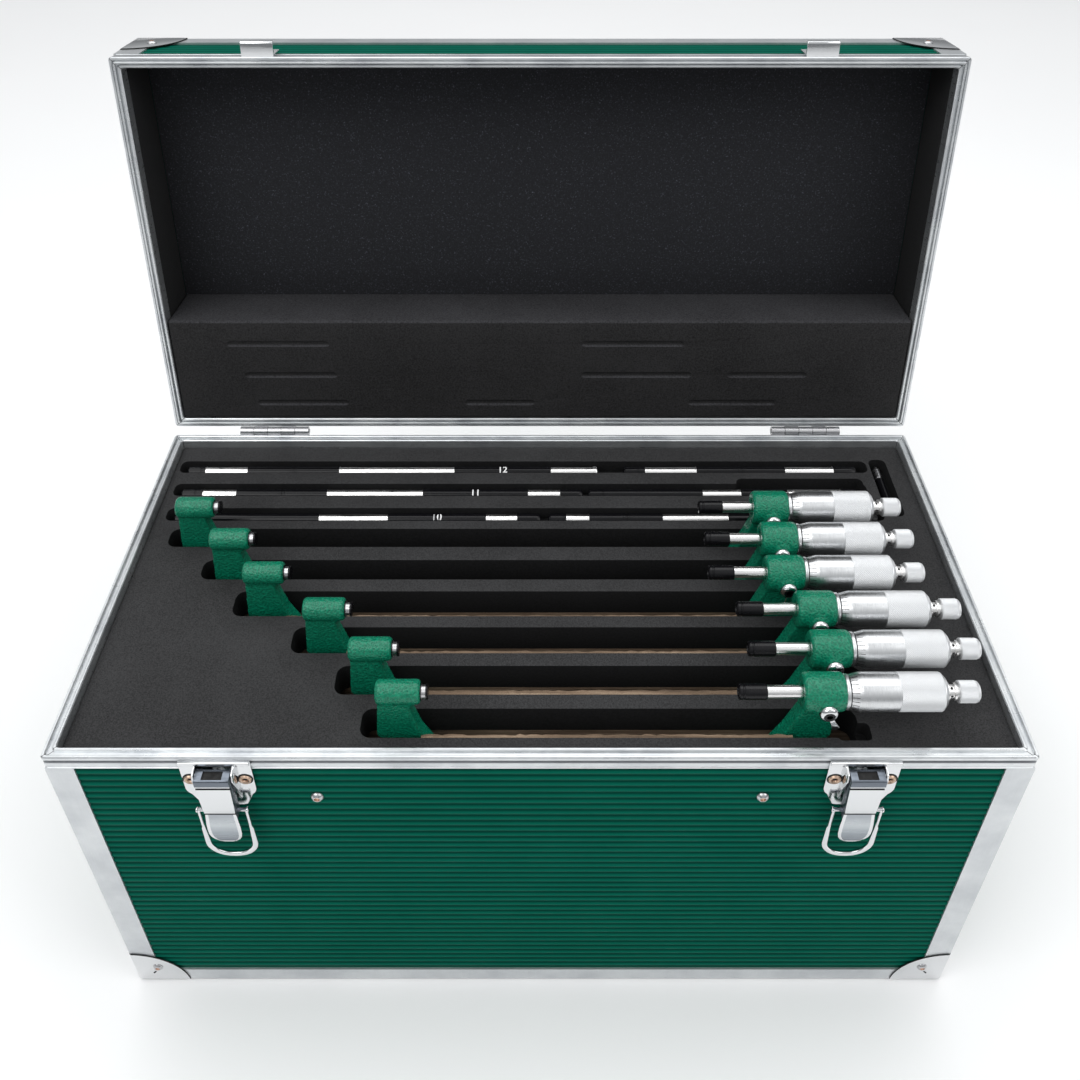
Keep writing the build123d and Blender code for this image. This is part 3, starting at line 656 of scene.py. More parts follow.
def bail(x, name):
    """Wire loop, thin at its arms and flattened round the bottom, on a pin through the lever."""
    outside = arc_points((-1.0, 161.0), 12.4, 180, 90, 10) + arc_points((1.0, 161.0), 12.4, 270, 90, 10)
    inside = arc_points((-1.0, 161.0), 9.4, 180, 90, 10) + arc_points((1.0, 161.0), 9.4, 270, 90, 10)
    shoulder = [(13.1, 174.5), (12.6, 176.2), (12.6, 190.8), (11.0, 190.8), (11.0, 175.5)]
    outline = outside + shoulder + inside[::-1] + [(-a, b) for a, b in reversed(shoulder)]
    loop = drawn(name, on_front(x, outline, 4.6), (0, -1.9 * mm, 0))
    parts = [end(loop, chrome, ease=0.75 * mm, segments=4, flat=50)]
    for side in (-1, 1):
        at = (x + side * 7.0 * mm, front_y - bail_pin[0] * mm, bail_pin[1] * mm)
        end_pin = [(0.0, 1.0), (side * 5.0, 1.0), (side * 5.0, 1.5), (side * 5.7, 1.5), (side * 6.1, 1.0)]
        parts.append(end(turned("bail_end", at, in_metres(end_pin), "X", 20), chrome, ease=0.12 * mm))
    return one_piece(name, *parts)


keeper_z = (bail_pin[1] + 37.5) * mm
hook = [(0.0, -1.5), (7.6, -1.5), (8.6, -0.9), (8.6, 2.2), (7.7, 2.2), (7.6, -0.2), (1.2, 0.0), (1.2, 14.0),
        (0.0, 14.0)]
plates, keepers = [], []
for side_name, x in (("left", -latch_x), ("right", latch_x)):
    plates += shield(x)
    for make, kind in ((lever, "lever"), (bail, "bail")):
        name = f"{kind}_{side_name}"
        settle(make(x, name), name, "chrome_fittings", f"latch_{name}")
    points = [(x - 9 * mm, front_y - out * mm, keeper_z + high * mm) for out, high in hook]
    keepers.append(end(drawn("keeper", points, (18 * mm, 0, 0)), chrome, ease=0.3 * mm, segments=3))
    for shift in (-5, 5):
        keepers.append(rivet("keeper_rivet", (x + shift * mm, front_y - 1.2 * mm, keeper_z + 9 * mm), "Y", -1,
                             1.9 * mm, 0.9 * mm))
settle(one_piece("latch_shields", *plates), "case", "chrome_fittings", "latch_plates")
lid_keepers = one_piece("lid_keepers", *keepers)
settle(swing_open(lid_keepers), "lid", "chrome_fittings", "latch_keepers")

# ---- Hinges ----------------------------------------------------------------------------------------
# Two steel hinges behind the back walls: leaves with rolled knuckles that take turns along one pin,
# each leaf held by three rivets.
hinge_x, hinge_len = 175 * mm, 45 * mm
knuckle_len = hinge_len / 5
back_y = case_d / 2


def hinge_leaf(name, x, order, sign):
    """A leaf on the back with its knuckles; sign -1 hangs down, +1 stands up from the hinge line."""
    near, far = hinge_z + sign * 3.4 * mm, hinge_z + sign * 21 * mm
    corner = 2.5 * mm
    points = [(-hinge_len / 2, near), (-hinge_len / 2, far - sign * corner), (-hinge_len / 2 + corner, far),
              (hinge_len / 2 - corner, far), (hinge_len / 2, far - sign * corner), (hinge_len / 2, near)]
    leaf = drawn(name, [(x + a, back_y, b) for a, b in points], (0, 1.4 * mm, 0))
    parts = [end(leaf, steel, ease=0.25 * mm)]
    for n in order:
        low = x - hinge_len / 2 + n * knuckle_len + 0.15 * mm
        long = knuckle_len - 0.3 * mm
        tube = [(0.0, 1.8 * mm), (0.0, 3.0 * mm), (long, 3.0 * mm), (long, 1.8 * mm)]
        parts.append(end(turned("knuckle", (low, hinge_y, hinge_z), tube, "X", 28, hollow=True), steel))
        root = [(back_y, near), (back_y + 1.4 * mm, near), (back_y + 2.4 * mm, hinge_z + sign * 2.4 * mm),
                (back_y + 1.2 * mm, hinge_z + sign * 0.6 * mm), (back_y, hinge_z + sign * 0.4 * mm)]
        parts.append(end(drawn("knuckle_root", [(low, a, b) for a, b in root], (long, 0, 0)), steel))
    for n in (-1, 0, 1):
        at = (x + n * 14 * mm, back_y + 1.4 * mm, hinge_z + sign * 13 * mm)
        parts.append(rivet("leaf_rivet", at, "Y", 1, 2.2 * mm, 1.0 * mm))
    return parts


body_leaves = [part for x in (-hinge_x, hinge_x) for part in hinge_leaf("body_leaf", x, (0, 2, 4), -1)]
lid_leaves = [part for x in (-hinge_x, hinge_x) for part in hinge_leaf("lid_leaf", x, (1, 3), 1)]
settle(one_piece("body_hinge_leaves", *body_leaves), "case", "bright_steel", "hinge_body_leaves")
lid_leaf_set = one_piece("lid_hinge_leaves", *lid_leaves)
settle(swing_open(lid_leaf_set), "lid", "bright_steel", "hinge_lid_leaves")
pin_outline = in_metres([(-0.4, 1.1), (0.0, 1.5), (45.0, 1.5), (45.4, 1.1)])
pins = [end(turned("hinge_pin", (x - hinge_len / 2, hinge_y, hinge_z), pin_outline, "X", 24), steel)
        for x in (-hinge_x, hinge_x)]
settle(one_piece("hinge_pin_pair", *pins), "case", "bright_steel", "hinge_pins")

# ---- Carrying handle -------------------------------------------------------------------------------
# A bent steel strap with a moulded black grip, hung on the lid's top between two chromed brackets.
handle_half = 62 * mm
handle_out = lid_top + 5.5 * mm
arm_x = handle_half - 4 * mm
drop = 34 * mm
bend = 6 * mm
strap_r = 2.3 * mm
pivot_y = hinge_y - hinge_y * math.cos(lid_open) + (handle_out - hinge_z) * math.sin(lid_open)
pivot_z = hinge_z + hinge_y * math.sin(lid_open) + (handle_out - hinge_z) * math.cos(lid_open)

bpy.ops.mesh.primitive_circle_add(vertices=24, radius=strap_r, fill_type="NGON",
                                  location=(-arm_x, pivot_y, pivot_z + strap_r))
strap = begin("handle_strap")
push(0, 0, -(drop + strap_r - bend))
for x, turn_from in ((-arm_x, 1), (arm_x, -1)):
    if turn_from < 0:
        push(2 * (arm_x - bend), 0, 0)
    centre = (x + turn_from * bend, pivot_y, pivot_z - drop + bend)
    bpy.ops.mesh.spin(steps=8, angle=math.pi / 2, center=centre, axis=(0, 1, 0))
push(0, 0, drop + strap_r - bend)
end(strap, chrome, ease=0.5 * mm, flat=40)
for side in (-1, 1):
    stud = [(0, strap_r), (side * 9.4 * mm, strap_r)]
    stud = end(turned("handle_stud", (side * arm_x, pivot_y, pivot_z), stud, "X", 24), chrome, ease=0.4 * mm)
    strap = one_piece("handle_strap", strap, stud)

grip_half = handle_half - 12 * mm
grip_black = new_finish("moulded_grip", (0.012, 0.012, 0.013), 0.0, 0.42)
pebbles = grain(grip_black, 700.0, detail=2.0)
wire(grip_black, Roughness=spread(grip_black, pebbles, 0.38, 0.6),
     Normal=relief(grip_black, pebbles, 0.12 * mm))
grip_rows = [(0.0, 0.86), (1.2, 1.0)]
for n in range(4):
    start_x = 8.0 + 23.0 * n
    grip_rows += [(start_x, 1.0), (start_x + 6.0, 0.93), (start_x + 17.0, 0.93), (start_x + 22.0, 1.0)]
grip_rows += [(98.8, 1.0), (100.0, 0.86)]
grip_end = (-grip_half, pivot_y, pivot_z - drop)
bpy.ops.mesh.primitive_circle_add(vertices=32, radius=7 * mm, fill_type="NGON", location=grip_end,
                                  rotation=(0, math.pi / 2, 0))
grip = begin("handle_grip")
bpy.ops.transform.resize(value=(1, 0.8 * 0.86, 0.86), center_override=grip_end)
for (reach, size), (next_reach, next_size) in zip(grip_rows, grip_rows[1:]):
    push((next_reach - reach) * mm, 0, 0)
    growth = next_size / size
    bpy.ops.transform.resize(value=(growth, growth, growth),
                             center_override=(-grip_half + next_reach * mm, pivot_y, pivot_z - drop))
end(grip, grip_black, flat=50)
settle(grip, "handle", "black_sleeve", "carry_handle")
settle(strap, "handle", "chrome_fittings", "carry_handle")

brackets = []
for side in (-1, 1):
    foot = [(61.0, -9.0), (69.5, -9.0), (71.0, -7.5), (71.0, 7.5), (69.5, 9.0), (61.0, 9.0)]
    foot = [(side * a * mm, b * mm, lid_top) for a, b in foot]
    brackets.append(end(drawn("bracket_foot", foot, (0, 0, 1.6 * mm)), chrome, ease=0.3 * mm))
    ear = [(-4.5, 0.5), (4.5, 0.5)] + arc_points((0.0, 5.5), 4.5, 0, 180, 10)
    ear = [(side * 63.2 * mm, a * mm, lid_top + b * mm) for a, b in ear]
    brackets.append(end(drawn("bracket_ear", ear, (side * 2.2 * mm, 0, 0)), chrome, ease=0.3 * mm))
    for y in (-6, 6):
        at = (side * 67.5 * mm, y * mm, lid_top + 1.5 * mm)
        brackets.append(rivet("bracket_rivet", at, "Z", 1, 1.9 * mm, 1.0 * mm))
handle_brackets = one_piece("handle_bracket_pair", *brackets)
settle(swing_open(handle_brackets), "lid", "chrome_fittings", "handle_brackets")

# ---- Lid lining and foam block --------------------------------------------------------------------
# A speckled felt-like sheet glued inside the lid's top, plain charcoal strips round its sides, and a
# block of foam across the hinge side that bears on the instruments and keeps their faint dents.
well_w, well_d = case_w / 2 - 6 * mm, case_d / 2 - 6 * mm
well_top = lid_top - 6 * mm
block_deep = 71 * mm


def slab(name, low, high):
    """A rectangular piece between two corners, open for editing."""
    middle = [(a + b) / 2 for a, b in zip(low, high)]
    bpy.ops.mesh.primitive_cube_add(size=1, location=middle)
    bpy.context.active_object.scale = [b - a for a, b in zip(low, high)]
    return begin(name)


def foam_finish(name, colour, coarse, tone=0.35):
    """Fine-cell foam: tiny light and dark cells, a cloudy sheen and a soft surface."""
    finish = new_finish(name, colour, 0.0, 0.92, gloss=0.25)
    cells = grain(finish, coarse, detail=3.0, roughness=0.7)
    clouds = grain(finish, 14.0, detail=3.0)
    both = work_out(finish, "MULTIPLY_ADD", clouds, 0.35, cells)
    low, high = [tuple(c * k for c in colour) for k in (1 - tone, 1 + tone)]
    return wire(finish, Base_Color=shades(finish, both, ((0.5, low), (0.8, high))),
                Normal=relief(finish, cells, 0.25 * mm))


lining_felt = new_finish("speckled_felt", (0.0085, 0.009, 0.0125), 0.0, 0.95)
flecks = grain(lining_felt, 950.0, detail=2.0, roughness=0.8)
felt_cells = grain(lining_felt, 420.0, detail=3.0)
felt_tones = ((0.40, (0.006, 0.0064, 0.0085)), (0.60, (0.011, 0.012, 0.0155)), (0.68, (0.035, 0.038, 0.048)),
              (0.76, (0.11, 0.12, 0.15)))
wire(lining_felt, Base_Color=shades(lining_felt, flecks, felt_tones),
     Normal=relief(lining_felt, felt_cells, 0.3 * mm))
side_charcoal = foam_finish("charcoal_strip", (0.014, 0.014, 0.0145), 1100.0, 0.2)
lid_foam_finish = foam_finish("lid_foam", (0.0175, 0.0172, 0.0178), 1000.0, 0.5)
# a lighter copy of the lid foam, painted light on faces that look up once the lid is open
lid_foam_painted_light = foam_finish("lid_foam_painted_light", (0.033, 0.033, 0.036), 1000.0, 0.5)

back_sheet = slab("lid_back_sheet", (-well_w, -well_d, well_top - 2 * mm), (well_w, well_d, well_top))
end(back_sheet, lining_felt, ease=0.5 * mm)
strips = []
strip_low, strip_high = body_h + seam + 9.2 * mm, well_top - 2 * mm
for side in (-1, 1):
    x_low, x_high = sorted((side * well_w, side * (well_w + 1.2 * mm)))
    y_low, y_high = sorted((side * well_d, side * (well_d + 1.2 * mm)))
    for strip_name, low, high in (("end_strip", (x_low, -well_d), (x_high, well_d)),
                                  ("long_strip", (-well_w, y_low), (well_w, y_high))):
        strip = slab(strip_name, (*low, strip_low), (*high, strip_high))
        strips.append(end(strip, side_charcoal, ease=0.3 * mm))
side_strips = one_piece("lid_side_strips", *strips)


def cut_away(piece, cutter):
    """The cutter's shape taken out of the piece, and the cutter put away."""
    modify(piece, "BOOLEAN", operation="DIFFERENCE", object=cutter, solver="EXACT")
    bpy.data.objects.remove(cutter)


foam_block = slab("lid_foam", (-well_w + 0.3 * mm, well_d - block_deep, body_h + seam + 0.3 * mm),
                  (well_w - 0.3 * mm, well_d - 0.3 * mm, well_top - 2.3 * mm))
end(foam_block, lid_foam_finish, lid_foam_painted_light, ease=2.2 * mm, segments=4)
# distance from the block's free edge, then the middle and length of each dent in the row
dent_rows = ((16.0, ((-166, 66), (59, 66))), (38.5, ((-160, 60), (62, 72), (146, 52))),
             (59.0, ((-154, 60), (-26, 46), (125, 58))))
for from_top, dents in dent_rows:
    for middle, long in dents:
        y = well_d - block_deep + from_top * mm
        at = ((middle - long / 2) * mm, y, body_h + seam + 0.3 * mm - 1.1 * mm)
        capsule = [(0, 0.9), (1.2, 2.0), (3, 2.4), (long - 3, 2.4), (long - 1.2, 2.0), (long, 0.9)]
        cut_away(foam_block, end(turned("dent", at, in_metres(capsule), "X", 28)))
smooth(foam_block, 50)
# the block's top and the upper walls of the dents take the lighter foam, painted light
for face in foam_block.data.polygons:
    face.material_index = int(face.normal.y < -0.4)

for piece in (back_sheet, side_strips):
    settle(swing_open(piece), "lid", "speckled_lining", "lid_lining")
settle(swing_open(foam_block), "lid", "dark_foam", "lid_foam_block")

# ---- Slotted foam tray -----------------------------------------------------------------------------
# Charcoal foam sheet that fills the body's mouth, cut through in six slots for the micrometers'
# bows and part way in grooves for the rods and the spanner. The cut sides and groove floors are painted
# nearly black, as painted shade.
foam_top, foam_t = 219 * mm, 18 * mm
axis_z = foam_top + 25 * mm
mic_y = [y * mm for y in (32.0, 6.5, -18.9, -44.4, -70.4, -96.4)]
mic_tip = [x * mm for x in (92.0, 92.5, 91.4, 103.0, 105.0, 96.3)]
mic_reach = [gap * mm for gap in (279.4, 254.0, 228.6, 203.2, 177.8, 152.4)]
slot_w = [w * mm for w in (15.0, 15.0, 18.0, 17.5, 18.0, 17.0)]
bow_left = [tip - reach - 24 * mm for tip, reach in zip(mic_tip, mic_reach)]
head_x = [tip + 31 * mm for tip in mic_tip]
groove_z = foam_top - 9 * mm
rod_rows = (
    (95.0, "12", ((-227.0, 265.0, ((12, 39), (98, 172), (234, 263))), (53.5, 150.0, ((14, 47), (104, 135))))),
    (73.7, "11", ((-225.5, 252.5, ((14, 35), (92, 152), (218, 238))), (30.0, 170.0, ((72, 96), (125, 159))))),
    (51.8, "10", ((-224.0, 224.5, ((89, 131), (191, 210))), (5.0, 202.0, ((11, 25), (70, 110))))),
)
groove_end = (210, 205, 210)


def rounded_cut(name, x, y, z, radius):
    """A block with rounded upright corners, to cut a pocket with."""
    piece = slab(name, (x[0], y[0], z[0]), (x[1], y[1], z[1]))
    middle = (z[0] + z[1]) / 2
    pick(piece, "EDGE", lambda c: abs(c.z - middle) < 0.01 * mm)
    bpy.ops.mesh.bevel(offset=radius, segments=6, affect="EDGES")
    return end(piece)


tray = slab("foam_tray_sheet", (-well_w + 0.3 * mm, -well_d + 0.3 * mm, foam_top - foam_t),
            (well_w - 0.3 * mm, well_d - 0.3 * mm, foam_top))
end(tray)
through = (foam_top - foam_t - mm, foam_top + mm)
shallow = (groove_z, foam_top + mm)
cutters = []
for left, head, y, width in zip(bow_left, head_x, mic_y, slot_w):
    wide = (left - 9.5 * mm, head + 31.5 * mm)
    cutters.append(rounded_cut("slot", wide, (y - width / 2, y + width / 2), through, 5.5 * mm))
wide = (head_x[5] + 20 * mm, head_x[5] + 37 * mm)
deep = (mic_y[5] - slot_w[5] / 2 - 1.5 * mm, mic_y[5])
cutters.append(rounded_cut("notch", wide, deep, shallow, 2.5 * mm))
for (row_y, label, rods), far in zip(rod_rows, groove_end):
    wide = ((rods[0][0] - 4) * mm, far * mm)
    cutters.append(rounded_cut("groove", wide, ((row_y - 5.5) * mm, (row_y + 5.5) * mm), shallow, 4 * mm))
cutters.append(rounded_cut("finger", (124 * mm, 204 * mm), (69 * mm, 84 * mm), shallow, 4 * mm))
cutters.append(rounded_cut("key_slot", (212 * mm, 223 * mm), (50 * mm, 102 * mm), shallow, 4 * mm))
for cutter in cutters:
    cut_away(tray, cutter)
soften(tray, 0.9 * mm, 3, 50)
smooth(tray, 55)
tray_foam = foam_finish("tray_foam", (0.0295, 0.0295, 0.0305), 1300.0, 0.45)
slot_shade_foam = foam_finish("slot_shade_foam", (0.0065, 0.0065, 0.007), 700.0, 0.4)
tray.data.materials.append(tray_foam)
tray.data.materials.append(slot_shade_foam)
# the slot walls and groove floors take the near-black foam as painted shade
for face in tray.data.polygons:
    x, y, z = face.center
    inside = abs(x) < well_w - 2 * mm and abs(y) < well_d - 2 * mm
    face.material_index = int(inside and foam_top - foam_t + 0.1 * mm < z < foam_top - 1.5 * mm)
settle(tray, "case", "dark_foam", "foam_tray")

# ---- Partition boards and rests ---------------------------------------------------------------------
# Sawn fibreboard stands between the slots and carries the foam. Its furry brown edges show along the
# near side of the four front slots. Soft rests on the floor hold the bottoms of the bows.
fibreboard = new_finish("sawn_fibreboard", (0.2, 0.14, 0.095), 0.0, 0.95)
fibres = grain(fibreboard, 120.0, detail=8.0, vector=spot(fibreboard, (0.12, 3, 3)))
fuzz = grain(fibreboard, 1800.0, detail=3.0)
board_browns = ((0.3, (0.075, 0.05, 0.032)), (0.5, (0.19, 0.13, 0.085)), (0.7, (0.36, 0.27, 0.19)))
sawn_relief = relief(fibreboard, fuzz, 0.4 * mm, under=relief(fibreboard, fibres, 0.6 * mm))
wire(fibreboard, Base_Color=shades(fibreboard, fibres, board_browns), Normal=sawn_relief)
dress(fibreboard, "partition_boards")
edge_top = foam_top - 1.3 * mm
edge_sunk, edge_shows = 0.4 * mm, (1.7 * mm, 2.3 * mm, 3.4 * mm, 2.7 * mm)
edge_strips = []
for n, shows in enumerate(edge_shows, 2):
    near = mic_y[n] - slot_w[n] / 2 - edge_sunk
    far = near + edge_sunk + shows
    left, right = bow_left[n] + 21 * mm, head_x[n] - 2 * mm
    strip = slab("board_edge", (left, near, foam_top - foam_t), (right, far, edge_top))
    pick(strip, "EDGE", lambda c: abs(c.x - (left + right) / 2) < 0.01 * mm)
    bpy.ops.mesh.subdivide(number_cuts=70)
    pick(strip, "VERT", lambda c: c.z > edge_top - 0.1 * mm and c.y > far - 0.1 * mm)
    bpy.ops.transform.vertex_random(offset=0.5 * mm, uniform=0.3, normal=0.0, seed=n)
    edge_strips.append(end(strip, fibreboard, flat=20))
board_edges = one_piece("board_edges", *edge_strips)
settle(board_edges, "case", "fibreboard")

rest_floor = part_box("bottom_foam")[0].z
rest_foam = foam_finish("rest_foam", (0.02, 0.02, 0.021), 800.0, 0.4)
bow_rise = 25 * mm
bow_width = [w * mm for w in (20, 20, 19.5, 19, 18.5, 18)]


def bow_circle(n):
    """Centre x, inner radius and outer radius of a micrometer's bow."""
    inner_left = bow_left[n] + bow_width[n] - mm
    half_span = (head_x[n] - inner_left) / 2
    inner = math.hypot(half_span, bow_rise)
    return inner_left + half_span, inner, inner + bow_width[n]


rests = []
for n in range(6):
    middle, inner, outer = bow_circle(n)
    top = axis_z + bow_rise - outer - 0.3 * mm
    half_y = slot_w[n] / 2 - 0.5 * mm
    low = (middle - 40 * mm, mic_y[n] - half_y, rest_floor)
    rest = slab("bow_rest", low, (middle + 40 * mm, mic_y[n] + half_y, top))
    rests.append(end(rest, rest_foam, ease=2.5 * mm, segments=3))
bow_rests = one_piece("bow_rests", *rests)
settle(bow_rests, "case", "dark_foam", "bottom_foam")

# ---- Setting rods and spanner -----------------------------------------------------------------------
# Ground steel rods in glossy black sleeves that leave short bare lengths, with small joint rings and
# domed ends; a white number gives the length. The spanner is a thin black handle with steel ends.
rod_r, core_r = 4.0, 3.5
rod_z = groove_z + (rod_r + 0.3) * mm
gloss_black = new_finish("gloss_sleeve", (0.004, 0.004, 0.005), 0.0, 0.16, gloss=0.2)
smears = grain(gloss_black, 90.0, detail=6.0)
wire(gloss_black, Roughness=spread(gloss_black, smears, 0.1, 0.26),
     Normal=relief(gloss_black, smears, 0.03 * mm))
ground_steel = plated("ground_steel", (0.86, 0.85, 0.84), 0.22)
numeral_white = new_finish("numeral_white", (0.85, 0.85, 0.85), 0.0, 0.6)
wire(numeral_white, Roughness=spread(numeral_white, grain(numeral_white, 300.0), 0.5, 0.7))


def rod(name, at, long, bare):
    """One rod: domed cap, sleeve, bare windows, and a joint ring after the first window."""
    outline = [(0.0, 2.0), (0.5, 3.3), (1.5, 3.9), (9.0, rod_r), (9.2, 3.8), (9.8, 3.8), (10.0, rod_r)]
    ring = (bare[0][1] + bare[1][0]) / 2
    for n, (low, high) in enumerate(bare):
        outline += [(low, rod_r), (low, core_r), (high, core_r), (high, rod_r)]
        if n == 0:
            rings = ((-1.6, rod_r), (-1.4, 4.25), (-0.2, 4.25), (0, 3.85), (0.8, 3.85), (1.0, 4.2),
                     (1.8, 4.2), (2.0, rod_r))
            outline += [(ring + a, b) for a, b in rings]
    outline += [(long - 4.0, rod_r), (long - 1.5, 3.9), (long - 0.5, 3.3), (long, 2.0)]
    piece = end(turned(name, at, in_metres(outline), "X", 32), gloss_black, ground_steel, flat=30)
    for face in piece.data.polygons:
        along = (face.center.x - at[0]) / mm
        face.material_index = int(any(low - 0.05 < along < high + 0.05 for low, high in bare))
    return piece


number_size, number_bold = 6.2 * mm, 0.11 * mm
number_lean = math.radians(22)
number_r = (rod_r + 0.07) * mm
for row, (row_y, label, rods) in enumerate(rod_rows, 1):
    for side_name, (left, long, bare) in zip(("left", "right"), rods):
        piece = rod(f"rod_{row}_{side_name}", (left * mm, row_y * mm, rod_z), long, bare)
        settle(piece, f"rod_{row}_{side_name}", "black_sleeve", f"setting_rod_{row}_{side_name}")
    left, long, bare = rods[0]
    label_x = (left + (bare[-2][1] + bare[-1][0]) / 2) * mm
    bpy.ops.object.text_add(location=(0, 0, 0))
    text = bpy.context.active_object
    text.data.body = label
    text.data.size, text.data.offset = number_size, number_bold
    text.data.align_x, text.data.align_y = "CENTER", "CENTER"
    bpy.ops.object.convert(target="MESH")
    number = begin(f"rod_number_{row}")
    bpy.ops.mesh.quads_convert_to_tris()
    bpy.ops.mesh.subdivide(number_cuts=3)
    bpy.ops.object.mode_set(mode="OBJECT")
    for vertex in number.data.vertices:
        turn = vertex.co.y / number_r - number_lean
        around = (row_y * mm + number_r * math.sin(turn), rod_z + number_r * math.cos(turn))
        vertex.co = (vertex.co.x + label_x, *around)
    number.data.materials.append(numeral_white)
    settle(number, f"rod_{row}_left", "black_sleeve")

key_x, key_y = 217.5 * mm, (52.4 * mm, 99.6 * mm)
key_z = groove_z + 3.2 * mm
key_outline = [(0.0, 1.6), (0.6, 2.2), (9.0, 2.3), (9.3, 1.7), (10.0, 1.7), (10.3, 2.6), (36.0, 2.6),
               (36.4, 2.0), (37.0, 2.0), (37.3, 2.35), (46.4, 2.35), (47.2, 1.6)]
spanner = turned("adjusting_spanner", (key_x, key_y[0], key_z), in_metres(key_outline), "Y", 28)
end(spanner, gloss_black, steel)
for face in spanner.data.polygons:
    along = (face.center.y - key_y[0]) / mm
    face.material_index = int(not 10.2 < along < 36.2)
settle(spanner, "spanner", "black_sleeve", "spanner")

# ---- Micrometer frames ------------------------------------------------------------------------------
# Cast bows with thinner webs, sprayed with hammered green enamel. The anvil is pressed into the left
# boss inside a black ring, and the barrel of satin steel is pressed into the head.
web_in = 1.5 * mm
boss_len = 22 * mm
head_len = 20.5 * mm
lock_y, lock_drop = -10.3 * mm, 2 * mm
sizes = [round(reach / (25.4 * mm)) + 1 for reach in mic_reach]

enamel_low, enamel_high = (0.001, 0.12, 0.066), (0.004, 0.22, 0.12)
hammered = new_finish("hammered_enamel", (0.0035, 0.27, 0.115), 0.0, 0.3, gloss=0.3)
hammered.node_tree.nodes["Principled BSDF"].inputs["Coat Weight"].default_value = 0.15
hammered.node_tree.nodes["Principled BSDF"].inputs["Coat Roughness"].default_value = 0.12
dents = add_node(hammered, "ShaderNodeTexVoronoi", Vector=spot(hammered), Scale=950.0, feature="SMOOTH_F1")
speckle = grain(hammered, 900.0, detail=3.0)
from_middle = dents.outputs["Distance"]
wire(hammered, Base_Color=shades(hammered, from_middle, ((0.15, enamel_low), (0.75, enamel_high))),
     Roughness=spread(hammered, speckle, 0.2, 0.4),
     Normal=relief(hammered, speckle, 0.1 * mm, under=relief(hammered, from_middle, 0.5 * mm)))
satin = new_finish("satin_chrome", (0.68, 0.69, 0.70), 1.0, 0.3)
rings = grain(satin, 260.0, vector=spot(satin, (30, 1, 1)))
wire(satin, Roughness=spread(satin, rings, 0.26, 0.4), Normal=relief(satin, rings, 0.015 * mm))
soft_black = new_finish("soft_black_cap", (0.004, 0.004, 0.005), 0.0, 0.22, gloss=0.25)
wire(soft_black, Roughness=spread(soft_black, grain(soft_black, 500.0), 0.18, 0.3))


def leg(name, n, points):
    """A flat leg under a boss, drawn below the spindle's axis, that runs down into the bow."""
    points = [(x, mic_y[n] - 4.3 * mm, axis_z - down) for x, down in points]
    return end(drawn(name, points, (0, 8.6 * mm, 0)))


